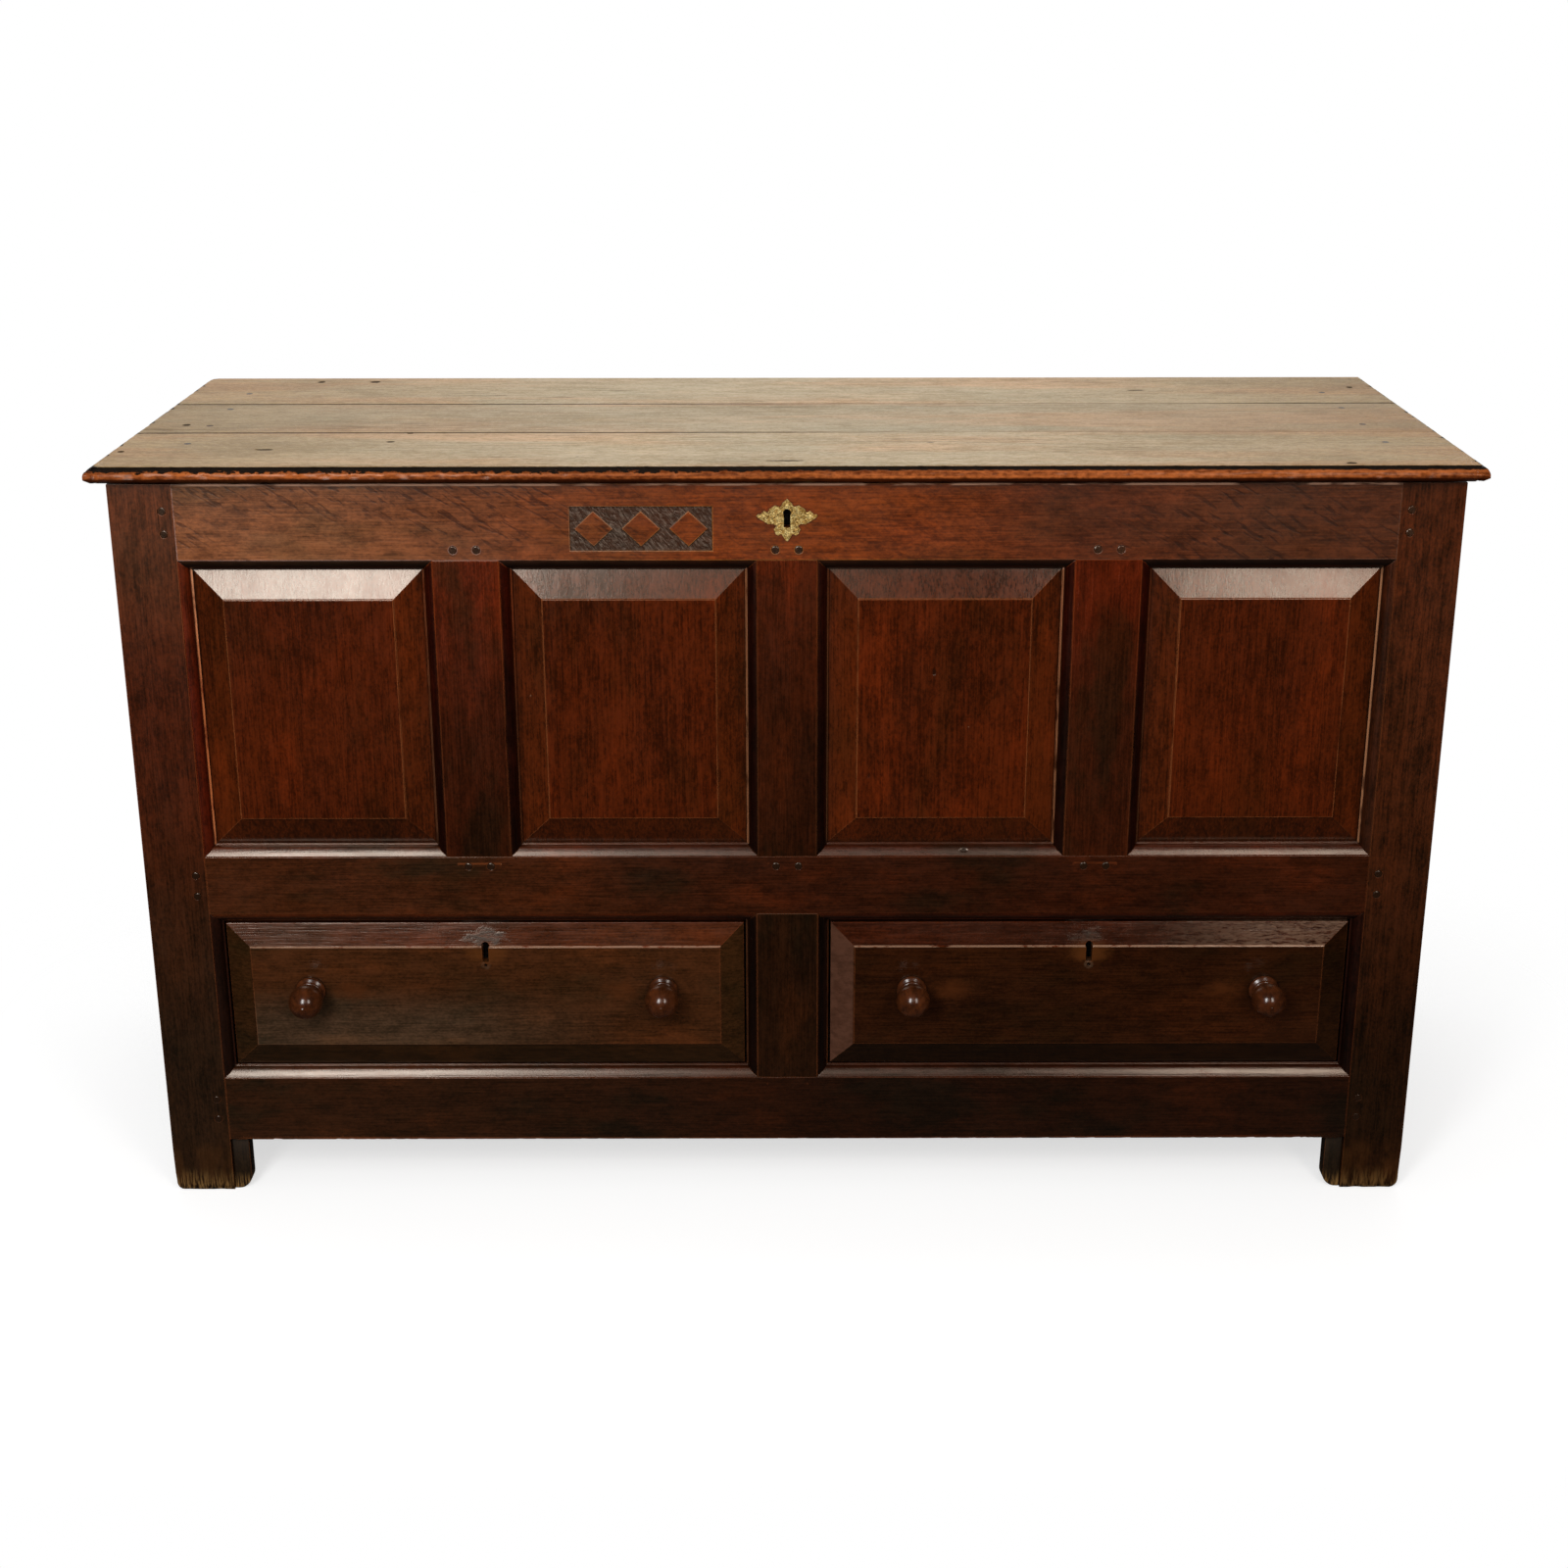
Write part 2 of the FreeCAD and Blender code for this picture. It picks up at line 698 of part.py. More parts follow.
def front_top_rail():
    """The front top rail, with the tablet, the keyhole and the lock's recess."""
    cuts = [tablet(), chest_lock_space(),
            keyhole(0, chest_key_z, chest_keyhole_drop, front_y, chest_lock_y)]
    return cut(place(rail("front", "top"), "front"), cuts + escutcheon_pins() + frame_pegs)


def floor_groove(name):
    """The groove in a middle rail's inner side for the floor boards' ends."""
    return place(block(-half_front, half_front, frame_thickness - floor_groove_depth,
                       frame_thickness, floor_z, panel_base_z), name)


def bolt_mortise(x):
    """The mortise above a drawer for its lock bolt."""
    half = drawer_bolt_width / 2 + bolt_clearance * 2
    y0 = drawer_lock_y + bolt_y - bolt_clearance * 2
    y1 = y0 + bolt_thickness + bolt_clearance * 4
    return block(x - half, x + half, y0, y1, drawer_clear_z, drawer_clear_z + drawer_bolt_travel)


def front_middle_rail():
    """The front middle rail, grooved for the floor and mortised for the drawer bolts."""
    cuts = [floor_groove("front"), bolt_mortise(drawer_centre_x), bolt_mortise(-drawer_centre_x)]
    return cut(place(rail("front", "middle"), "front"), cuts + frame_pegs)


def back_top_rail():
    """The back top rail, with the nails of the hinge leaves in it."""
    return cut(place(rail("back", "top"), "back"), leaf_nails() + frame_pegs)


def plain_rail(name, level):
    """A rail with nothing in it but the muntins' mortises."""
    return cut(place(rail(name, level), name), frame_pegs)


def plain_muntin(name, row, index):
    """A muntin, standing in its place."""
    return cut(place(muntin(name, row, index), name), frame_pegs)


# --- inside the carcass ----------------------------------------------------------
def floor_boards():
    """The well's floor, boards running front to back in the rails' grooves."""
    inner = half_width - frame_thickness
    step = 2 * inner / floor_board_count
    y0 = front_y + frame_thickness - floor_groove_depth
    y1 = back_y - frame_thickness + floor_groove_depth
    corners = [block(x0, x1, y_a, y_b, floor_z, panel_base_z)
               for x0, x1 in ((-inner, -half_front), (half_front, inner))
               for y_a, y_b in ((y0, front_y + stile_depth), (back_y - stile_depth, y1))]
    boards = []
    for i in range(floor_board_count):
        x0 = -inner + step * i
        boards.append(cut(block(x0, x0 + step, y0, y1, floor_z, panel_base_z), corners))
    return boards


def support_spans():
    """The x spans of the left, centre and right drawer supports."""
    return [(-half_front, -half_front + outer_runner_width),
            (-centre_runner_width / 2, centre_runner_width / 2),
            (half_front - outer_runner_width, half_front)]


def drawer_runners():
    """The strips that the drawer sides run on, nailed between the bottom rails."""
    y0, y1 = front_y + frame_thickness, back_y - frame_thickness
    return [block(x0, x1, y0, y1, runner_z - runner_height, runner_z)
            for x0, x1 in support_spans()]


def drawer_kickers():
    """The strips over the drawer sides that stop an open drawer tipping."""
    y0, y1 = front_y + frame_thickness, back_y - frame_thickness
    return [block(x0, x1, y0, y1, drawer_clear_z, drawer_clear_z + runner_height)
            for x0, x1 in support_spans()]


def drawer_guides():
    """The strips on the runners that keep the drawers straight."""
    y0, y1 = front_y + frame_thickness, back_y - frame_thickness
    z0, z1 = runner_z, runner_z + guide_height
    outer, inner = drawer_x1 + guide_gap, drawer_x0 - guide_gap
    return [block(-half_front, -outer, y0, y1, z0, z1),
            block(-inner, inner, y0, y1, z0, z1),
            block(outer, half_front, y0, y1, z0, z1)]


def foot_blocks():
    """The blocks glued behind the rails, inside each foot."""
    x0, x1 = half_front - foot_block_width, half_front
    z1 = foot_height + foot_block_overlap
    near = front_y + frame_thickness
    far = back_y - frame_thickness
    right = [block(x0, x1, near, near + foot_block_depth, 0, z1),
             block(x0, x1, far - foot_block_depth, far, 0, z1)]
    return right + [mirror_x(b) for b in right]


# --- drawers, drawn on the right ----------------------------------------------------
side_z0 = runner_z + drawer_running_gap
side_z1 = drawer_z1 - drawer_side_drop
bottom_z = side_z0 + drawer_bottom_lift
inner_x0 = drawer_x0 + drawer_side_thickness
inner_x1 = drawer_x1 - drawer_side_thickness


def dovetails(x0, x1):
    """The lapped dovetails on the front end of a drawer side."""
    pitch = (side_z1 - side_z0) / dovetail_count
    y0 = drawer_inner_y - dovetail_lap
    tails = []
    for i in range(dovetail_count):
        z = side_z0 + pitch * (i + 0.5)
        root, end = dovetail_root / 2, dovetail_root / 2 + dovetail_flare
        tails.append(prism([V(x0, drawer_inner_y, z - root), V(x0, drawer_inner_y, z + root),
                            V(x0, y0, z + end), V(x0, y0, z - end)], V(x1 - x0, 0, 0)))
    return tails


def drawer_front():
    """A drawer front with a fielded face, its joints, keyhole and lock recess."""
    bounds = (drawer_x0, drawer_x1, drawer_z0, drawer_z1)
    field = raised_field(bounds, drawer_bevel_width, drawer_edge_setback, drawer_field_step,
                         drawer_field_setback)
    slab = block(drawer_x0, drawer_x1, drawer_edge_setback, drawer_inner_y - front_y,
                 drawer_z0, drawer_z1)
    solid = join([slab] + field)
    solid.translate(V(0, front_y, 0))
    cuts = dovetails(drawer_x0, inner_x0) + dovetails(inner_x1, drawer_x1) + drawer_knobs()
    cuts.append(block(inner_x0 - drawer_bottom_groove, inner_x1 + drawer_bottom_groove,
                      drawer_inner_y - drawer_bottom_groove, drawer_inner_y,
                      bottom_z, bottom_z + drawer_bottom_thickness))
    cuts.append(drawer_lock_space())
    cuts.append(keyhole(drawer_centre_x, drawer_key_z, drawer_keyhole_drop, front_y,
                        drawer_lock_y))
    return cut(solid, cuts)


def drawer_bottom():
    """A drawer's bottom, in grooves on three sides and under the back."""
    g = drawer_bottom_groove
    return block(inner_x0 - g, inner_x1 + g, drawer_inner_y - g, drawer_end_y,
                 bottom_z, bottom_z + drawer_bottom_thickness)


def drawer_back():
    """A drawer's back, housed in the sides and standing on the bottom."""
    h = drawer_back_housing
    return block(inner_x0 - h, inner_x1 + h, drawer_end_y - drawer_side_thickness * 2,
                 drawer_end_y - drawer_side_thickness,
                 bottom_z + drawer_bottom_thickness, side_z1)


def drawer_sides():
    """A drawer's two sides, dovetailed at the front and grooved inside."""
    sides = []
    for x0, x1 in ((drawer_x0, inner_x0), (inner_x1, drawer_x1)):
        board = block(x0, x1, drawer_inner_y, drawer_end_y, side_z0, side_z1)
        solid = join([board] + dovetails(x0, x1))
        sides.append(cut(solid, [drawer_bottom(), drawer_back()]))
    return sides


def knob_profile():
    """A turned knob's half section as (radius, distance from the drawer's face)."""
    ball, neck = knob_ball_radius, knob_neck_radius
    bead0 = knob_flange_thickness + (knob_flange_radius - knob_cove_radius) / 2
    bead1 = bead0 + knob_bead_thickness
    ball_start = knob_ball_distance - math.sqrt(ball ** 2 - neck ** 2)
    return bead0, bead1, ball_start


def knob(x, z):
    """A turned knob with a flange, a bead, a ball and a spindle through the front."""
    bead0, bead1, ball_start = knob_profile()

    def at(radius, distance):
        return V(radius, -distance, 0)

    ball = Part.Arc(at(knob_neck_radius, ball_start),
                    at(knob_ball_radius, knob_ball_distance),
                    at(0, knob_ball_distance + knob_ball_radius)).toShape()
    bead = Part.Arc(at(knob_cove_radius, bead0),
                    at(knob_bead_radius, (bead0 + bead1) / 2),
                    at(knob_cove_radius, bead1)).toShape()
    flange = Part.Arc(at(knob_flange_radius - knob_flange_thickness / 4, 0),
                      at(knob_flange_radius, knob_flange_thickness / 2),
                      at(knob_flange_radius - knob_flange_thickness / 4,
                         knob_flange_thickness)).toShape()
    back = -drawer_front_thickness
    lines = [(at(0, knob_ball_distance + knob_ball_radius), at(0, back)),
             (at(0, back), at(knob_spindle_radius, back)),
             (at(knob_spindle_radius, back), at(knob_spindle_radius, 0)),
             (at(knob_spindle_radius, 0), at(knob_flange_radius - knob_flange_thickness / 4, 0))]
    upper = [(at(knob_flange_radius - knob_flange_thickness / 4, knob_flange_thickness),
              at(knob_cove_radius, bead0)),
             (at(knob_cove_radius, bead1), at(knob_neck_radius, ball_start))]
    edges = [Part.makeLine(a, b) for a, b in lines] + [flange]
    edges += [Part.makeLine(*upper[0]), bead, Part.makeLine(*upper[1]), ball]
    solid = Part.Face(Part.Wire(Part.__sortEdges__(edges))).revolve(V(0, 0, 0), V(0, 1, 0), 360)
    solid.translate(V(x, front_y + drawer_field_setback, z))
    return solid


def drawer_knobs():
    """The two knobs of the right-hand drawer."""
    z = runner_z + knob_above_sill
    return [knob(drawer_centre_x + side * knob_spacing / 2, z) for side in (-1, 1)]


# --- lid ---------------------------------------------------------------------------
def lid_section(to_point, start, end, moulded_end):
    """The lid's section between two edges: the first is moulded, the last if asked."""
    z0 = carcass_height
    nose0 = lid_z1 - lid_quirk - lid_ovolo_height - lid_nose_height
    nose1 = nose0 + lid_nose_height
    lip = lid_z1 - lid_quirk

    def edge(at, inward):
        bulge = lid_moulding_width * (1 - math.cos(math.radians(45)))
        rise = lid_ovolo_height * math.sin(math.radians(45))
        points = [to_point(at + inward * lid_undercut, z0), to_point(at, nose0),
                  to_point(at, nose1),
                  to_point(at + inward * bulge, nose1 + rise),
                  to_point(at + inward * lid_moulding_width, lip),
                  to_point(at + inward * lid_moulding_width, lid_z1)]
        return points

    first = edge(start, 1)
    last = edge(end, -1) if moulded_end else [to_point(end, z0), to_point(end, lid_z1)]
    edges = moulded_edge(first)
    edges.append(Part.makeLine(first[-1], last[-1]))
    edges += moulded_edge(last) if moulded_end else [Part.makeLine(last[1], last[0])]
    edges.append(Part.makeLine(last[0], first[0]))
    return Part.Face(Part.Wire(Part.__sortEdges__(edges)))


def moulded_edge(points):
    """The undercut, nose, ovolo and quirk of one lid edge."""
    foot, nose0, nose1, middle, lip, top = points
    return [Part.makeLine(foot, nose0), Part.makeLine(nose0, nose1),
            Part.Arc(nose1, middle, lip).toShape(), Part.makeLine(lip, top)]


def lid_slab():
    """The whole lid in one piece, moulded on the front and both ends."""
    along = lid_section(lambda s, z: V(-lid_half, s, z), lid_front_y, back_y, False)
    across = lid_section(lambda s, z: V(s, lid_front_y, z), -lid_half, lid_half, True)
    return along.extrude(V(2 * lid_half, 0, 0)).common(
        across.extrude(V(0, back_y - lid_front_y, 0)))


def lid_board(y0, y1, fittings):
    """One board of the lid, cut for the fittings."""
    span = block(-lid_half, lid_half, y0, y1, carcass_height, lid_z1)
    return cut(lid_slab().common(span), fittings)


def batten_box():
    """The corners of the right-hand batten: x0, x1, y0, y1, z0, z1."""
    x1 = half_width - frame_thickness - batten_side_gap
    return (x1 - batten_width, x1, front_y + batten_end_gap, back_y - batten_end_gap,
            carcass_height - batten_thickness, carcass_height)


def lid_battens():
    """The two battens across the lid's underside, clear of the carcass."""
    right = cut(block(*batten_box()), batten_nails())
    return [right, mirror_x(right)]


def batten_nails():
    """The nails down through the lid into the right-hand batten."""
    x0, x1, y0, y1 = batten_box()[:4]
    step = (y1 - y0) / batten_nail_count
    return [nail(V((x0 + x1) / 2, y0 + step * (i + 0.5), lid_z1), V(0, 0, -1),
                 batten_nail_length) for i in range(batten_nail_count)]


def strap_outline():
    """The right-hand strap's outline as a flat plate under the lid."""
    x, z = hinge_offset_x, carcass_height
    neck = hinge_knuckle_length / 2
    widen_y = back_y - strap_half_width
    tip_y = hinge_y - strap_length
    points = [V(x - neck, hinge_y, z), V(x - neck, back_y, z), V(x - strap_half_width, widen_y, z),
              V(x - strap_neck_half_width, tip_y, z), V(x + strap_neck_half_width, tip_y, z),
              V(x + strap_half_width, widen_y, z), V(x + neck, back_y, z), V(x + neck, hinge_y, z)]
    plate = prism(points, V(0, 0, hinge_iron_thickness))
    end = rod(strap_end_radius, hinge_iron_thickness, V(x, tip_y, z), V(0, 0, 1))
    return plate.fuse(end).removeSplitter()


def hinge_strap():
    """A lid strap with its knuckle and nail holes."""
    x, z = hinge_offset_x, carcass_height
    half = hinge_knuckle_length / 2
    knuckle = rod(hinge_knuckle_radius, hinge_knuckle_length, V(x - half, hinge_y, z), V(1, 0, 0))
    bore = rod(hinge_pin_radius + hinge_running_clearance, hinge_knuckle_length,
               V(x - half, hinge_y, z), V(1, 0, 0))
    return cut(join([strap_outline(), knuckle]), [bore] + strap_nails())


def strap_nails():
    """The nails up through the right-hand strap into the lid."""
    y1 = back_y - stile_depth
    y0 = hinge_y - strap_length
    z = carcass_height - nail_head_thickness
    return [nail(V(hinge_offset_x, y0 + (y1 - y0) * i / 2, z), V(0, 0, 1), strap_nail_length)
            for i in range(3)]


def lid_nails():
    """Every nail that rides on the lid."""
    right = strap_nails() + batten_nails()
    return right + [mirror_x(n) for n in right]


def hinge_leaf():
    """The leaf on the back rail, with two knuckles that grip the pin."""
    x, z = hinge_offset_x, carcass_height
    half = hinge_leaf_width / 2
    gap = hinge_knuckle_length / 2 + hinge_side_clearance
    plate = block(x - half, x + half, back_y, back_y + hinge_iron_thickness,
                  z - hinge_leaf_height, z)
    notch = block(x - gap, x + gap, back_y, back_y + hinge_iron_thickness,
                  z - hinge_knuckle_radius - hinge_side_clearance * 2, z)
    ends = [rod(hinge_knuckle_radius, half - gap, V(x0, hinge_y, z), V(1, 0, 0))
            for x0 in (x - half, x + gap)]
    bore = rod(hinge_pin_radius, hinge_leaf_width, V(x - half, hinge_y, z), V(1, 0, 0))
    return cut(join([plate.cut(notch)] + ends), [bore] + leaf_nails()[:4])


def leaf_nails():
    """The four nails of each leaf, right-hand leaf first."""
    right = []
    for side in (-1, 1):
        for share in (0.35, 0.8):
            point = V(hinge_offset_x + side * hinge_leaf_width / 4,
                      back_y + hinge_iron_thickness + nail_head_thickness,
                      carcass_height - hinge_leaf_height * share)
            right.append(nail(point, V(0, -1, 0), leaf_nail_length))
    return right + [mirror_x(n) for n in right]


def hinge_pin():
    """The right-hand pin, burred over at both ends."""
    x, z = hinge_offset_x, carcass_height
    half = hinge_leaf_width / 2
    long_half = half + hinge_pin_head_length
    shank = rod(hinge_pin_radius, 2 * long_half, V(x - long_half, hinge_y, z), V(1, 0, 0))
    heads = [rod(hinge_pin_head_radius, hinge_pin_head_length, V(x0, hinge_y, z), V(1, 0, 0))
             for x0 in (x - long_half, x + half)]
    return join([shank] + heads)


def lid_hasp():
    """The plate let in under the lid, with the pierced lug that the bolt enters."""
    z = carcass_height
    plate = block(-hasp_plate_width / 2, hasp_plate_width / 2, chest_lock_y,
                  chest_lock_y + lock_depth, z, z + hasp_plate_thickness)
    half = hasp_lug_thickness / 2
    y0 = chest_lock_y + (lock_depth - hasp_lug_width) / 2
    lug = block(-half, half, y0, y0 + hasp_lug_width, z - hasp_lug_length, z)
    box = chest_bolt().BoundBox
    c = hasp_hole_clearance
    hole = block(-half, half, box.YMin - c, box.YMax + c, box.ZMin - c, box.ZMax + c)
    return join([plate, lug.cut(hole)])


def hasp_space():
    """The recess under the lid for the hasp's plate."""
    return block(-hasp_plate_width / 2, hasp_plate_width / 2, chest_lock_y,
                 chest_lock_y + lock_depth, carcass_height, carcass_height + hasp_plate_thickness)


# --- writing the nodes -----------------------------------------------------------------
def both(shape):
    """A right-hand shape and its mirror image."""
    return [shape, mirror_x(shape)]


def save(node, shapes):
    """Write one node's solids to its own STEP file."""
    solids = [s for shape in shapes for s in shape.Solids]
    whole = solids[0] if len(solids) == 1 else Part.makeCompound(solids)
    whole.exportStep("parts/" + node + ".step")


def save_stiles():
    """The four corner stiles."""
    save("front_left_stile", [stile(-1, -1)])
    save("front_right_stile", [stile(1, -1)])
    save("back_left_stile", [stile(-1, 1)])
    save("back_right_stile", [stile(1, 1)])


def save_front():
    """The front's rails, muntins, divider and panels."""
    save("front_top_rail", [front_top_rail()])
    save("front_middle_rail", [front_middle_rail()])
    save("front_bottom_rail", [plain_rail("front", "bottom")])
    for i in range(len(faces["front"]["upper"])):
        upright = plain_muntin("front", "upper", i)
        save("front_muntin_%d" % (i + 1), [cut(upright, [chest_lock_space()])])
    save("drawer_divider", [plain_muntin("front", "lower", 0)])
    for i, solid in enumerate(panels("front", "upper")):
        save("front_panel_%d" % (i + 1), [solid])


def save_sides():
    """The rails, muntins and panels of both sides, in pairs."""
    for level in ("top", "middle", "bottom"):
        save("side_%s_rails" % level, both(plain_rail("left", level)))
    save("side_muntins", both(plain_muntin("left", "upper", 0)))
    upper = panels("left", "upper")
    save("side_upper_panels", upper + [mirror_x(p) for p in upper])
    save("side_lower_panels", both(panels("left", "lower")[0]))


def save_back():
    """The back's rails, muntins and panels."""
    save("back_top_rail", [back_top_rail()])
    middle = cut(plain_rail("back", "middle"), [floor_groove("back")])
    save("back_middle_rail", [middle])
    save("back_bottom_rail", [plain_rail("back", "bottom")])
    save("back_muntins", [plain_muntin("back", "upper", 0), plain_muntin("back", "upper", 1),
                          plain_muntin("back", "lower", 0)])
    save("back_panels", panels("back", "upper") + panels("back", "lower"))


def save_inside():
    """The floor, the drawer supports, the foot blocks and the pegs."""
    save("well_floor_boards", floor_boards())
    save("drawer_runners", drawer_runners())
    save("drawer_guides", drawer_guides())
    save("drawer_kickers", drawer_kickers())
    save("foot_blocks", foot_blocks())
    save("frame_pegs", frame_pegs)


def save_lid():
    """The lid's boards, battens and ironwork, and the hinge parts on the back."""
    straps = both(strap_outline())
    nails = lid_nails()
    save("lid_front_board", [lid_board(lid_front_y, lid_seam_1, nails + [hasp_space()])])
    save("lid_middle_board", [lid_board(lid_seam_1, lid_seam_2, nails + straps)])
    save("lid_back_board", [lid_board(lid_seam_2, back_y, nails + straps)])
    save("lid_battens", lid_battens())
    save("lid_nails", nails)
    save("lid_hasp", [lid_hasp()])
    save("hinge_straps", both(hinge_strap()))
    save("hinge_leaves", both(hinge_leaf()))
    save("hinge_pins", both(hinge_pin()))
    save("hinge_leaf_nails", leaf_nails())


def save_drawers():
    """Both drawers, the left one a mirror image of the right."""
    pieces = {
        "drawer_front": [drawer_front()],
        "drawer_sides": drawer_sides(),
        "drawer_back": [drawer_back()],
        "drawer_bottom": [drawer_bottom()],
        "drawer_knobs": drawer_knobs(),
        "drawer_lock": [drawer_lock_case()],
        "drawer_lock_bolt": [drawer_bolt()],
    }
    for name, shapes in pieces.items():
        save("right_" + name, shapes)
        save("left_" + name, [mirror_x(s) for s in shapes])


def save_chest_lock():
    """The chest lock, its bolt, and the keyhole plate with its pins."""
    save("chest_lock_case", [chest_lock_case()])
    save("chest_lock_bolt", [chest_bolt()])
    save("escutcheon", [escutcheon()])
    save("escutcheon_pins", escutcheon_pins())


os.makedirs("parts", exist_ok=True)
save_stiles()
save_front()
save_sides()
save_back()
save_inside()
save_lid()
save_drawers()
save_chest_lock()
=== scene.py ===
import math

import bmesh
import bpy
from mathutils import Matrix, Vector, noise


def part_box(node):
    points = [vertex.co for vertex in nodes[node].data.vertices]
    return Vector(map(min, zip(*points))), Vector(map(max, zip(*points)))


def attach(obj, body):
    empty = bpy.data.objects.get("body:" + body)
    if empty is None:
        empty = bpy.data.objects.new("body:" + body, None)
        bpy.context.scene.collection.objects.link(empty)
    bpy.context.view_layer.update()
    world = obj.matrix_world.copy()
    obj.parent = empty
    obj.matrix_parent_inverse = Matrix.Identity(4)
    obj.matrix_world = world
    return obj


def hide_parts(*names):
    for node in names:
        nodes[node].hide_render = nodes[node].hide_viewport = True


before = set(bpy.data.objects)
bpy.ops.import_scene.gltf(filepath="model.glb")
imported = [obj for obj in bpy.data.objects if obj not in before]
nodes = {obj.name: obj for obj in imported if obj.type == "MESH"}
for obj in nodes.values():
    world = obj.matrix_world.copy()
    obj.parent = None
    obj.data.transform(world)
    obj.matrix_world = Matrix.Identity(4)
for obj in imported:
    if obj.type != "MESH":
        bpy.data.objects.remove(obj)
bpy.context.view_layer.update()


# ----------
# The front stiles, which run down to the floor as feet. Riven oak, planed, stained by age and
# wax to a dark red brown. They are darker towards the floor. The feet are worn round and frayed.

class Wire:
    """An output in a finish's node tree. Sums on it add Math nodes."""

    def __init__(self, tree, socket=None):
        self.tree = tree
        self.socket = socket

    def node(self, kind, sockets=None, out=0, **settings):
        """Adds a node, makes its settings, fills its sockets and returns one of its outputs."""
        made = self.tree.nodes.new("ShaderNode" + kind)
        for name, value in settings.items():
            setattr(made, name, value)
        for name, value in (sockets or {}).items():
            if isinstance(value, Wire):
                self.tree.links.new(value.socket, made.inputs[name])
            else:
                made.inputs[name].default_value = value
        return Wire(self.tree, made.outputs[out])

    def maths(self, operation, *values):
        """A Math node on these values."""
        return self.node("Math", dict(enumerate(values)), operation=operation)

    def __add__(self, other):
        return self.maths("ADD", self, other)

    def __sub__(self, other):
        return self.maths("SUBTRACT", self, other)

    def __rsub__(self, other):
        return self.maths("SUBTRACT", other, self)

    def __mul__(self, other):
        return self.maths("MULTIPLY", self, other)

    __radd__ = __add__
    __rmul__ = __mul__

    def step(self, low, high):
        """0 below low, 1 above high, and smooth between them."""
        return self.node("MapRange", {"Value": self, "From Min": low, "From Max": high},
                         interpolation_type="SMOOTHSTEP")

    def facing(self):
        """The way the surface faces, in the piece's own coordinates."""
        return self.node("VectorTransform", {"Vector": self.node("NewGeometry", out=3)},
                         vector_type="NORMAL", convert_from="WORLD", convert_to="OBJECT")

    def past(self, edge, soft=0.0002):
        """0 before an edge and 1 past it, changing over twice soft."""
        return self.step(edge - soft, edge + soft)

    def within(self, low, high, soft):
        """1 between low and high, fading to 0 within soft of them."""
        return self.step(low - soft, low + soft) * (1 - self.step(high - soft, high + soft))

    def along(self, axis):
        """One coordinate of this point."""
        return self.node("SeparateXYZ", {"Vector": self}, out="XYZ".index(axis))

    def apart(self):
        """The three coordinates of this point."""
        return [self.along(axis) for axis in "XYZ"]

    def from_x(self, x=0):
        """How far this point is from x, to either side."""
        return self.maths("ABSOLUTE", self.along("X") - x)

    def most(self, other):
        """The greater of this and another."""
        return self.maths("MAXIMUM", self, other)

    def vector(self, operation, *others):
        """A Vector Math node on this and others. A length or dot product is a number."""
        out = int(operation in ("LENGTH", "DOT_PRODUCT"))
        values = dict(enumerate((self, *others)))
        return self.node("VectorMath", values, out=out, operation=operation)

    def paint(self, colour):
        """A plain colour to start from."""
        made = self.node("RGB")
        made.socket.default_value = rgba(colour)
        return made

    def mix(self, other, share):
        """This colour with a share of another, which is a wire or a plain colour."""
        return self.node("Mix", {0: share, 6: self, 7: rgba(other)}, out=2, data_type="RGBA")

    def times(self, colour):
        """This colour multiplied by another."""
        return self.node("Mix", {0: 1.0, 6: self, 7: rgba(colour)}, out=2, data_type="RGBA",
                         blend_type="MULTIPLY")

    def glaze(self, colour, share):
        """This colour with a share of it multiplied by another."""
        return self.mix(self.times(colour), share)


def rgba(colour):
    """A plain colour as sockets take it. A wire stays a wire."""
    return colour if isinstance(colour, Wire) else (*colour, 1.0)


def seed_of(name):
    """A number from 0 to 1 that stays the same for a name."""
    return sum((i + 3) * ord(letter) for i, letter in enumerate(name)) * 0.6180339 % 1.0


def stretched(place, grain, along, across, seed):
    """The piece's own coordinates, long along its grain and short across it."""
    scale = [along if axis == grain else across for axis in "XYZ"]
    shift = (seed * 17.3, seed * 31.7, seed * 23.9)
    return place.node("Mapping", {"Vector": place, "Scale": scale, "Location": shift})


def cloud(place, grain, along, across, seed, detail, rough, bent=0.0):
    """Noise stretched along the grain, about 0.5 on average."""
    return place.node("TexNoise", {"Vector": stretched(place, grain, along, across, seed),
                                   "Scale": 1.0, "Detail": detail, "Roughness": rough,
                                   "Distortion": bent})


def specks(place, spacing, share, size):
    """Small scattered marks: one in a share of the cells, about size of a cell across."""
    cells = {"Vector": place, "Scale": 1 / spacing}
    distance = place.node("TexVoronoi", cells)
    pick = place.node("TexVoronoi", cells, out=1)
    chosen = pick.node("SeparateColor", {"Color": pick}).step(1 - share, 1 - share + 0.02)
    return chosen * (1 - distance.step(size * 0.5, size))


def corners(start, reach, open_share):
    """1 deep in a corner of about reach, 0 where more than open_share of the air is open."""
    air = start.node("AmbientOcclusion", {"Distance": reach}, out=1, samples=4)
    return 1 - air.step(0.3, open_share)


def fresh(name):
    """A new material, the start of its node tree, and the piece's own coordinates."""
    material = bpy.data.materials.new(name)
    material.use_nodes = True
    start = Wire(material.node_tree)
    return material, start, start.node("TexCoord", out=3)


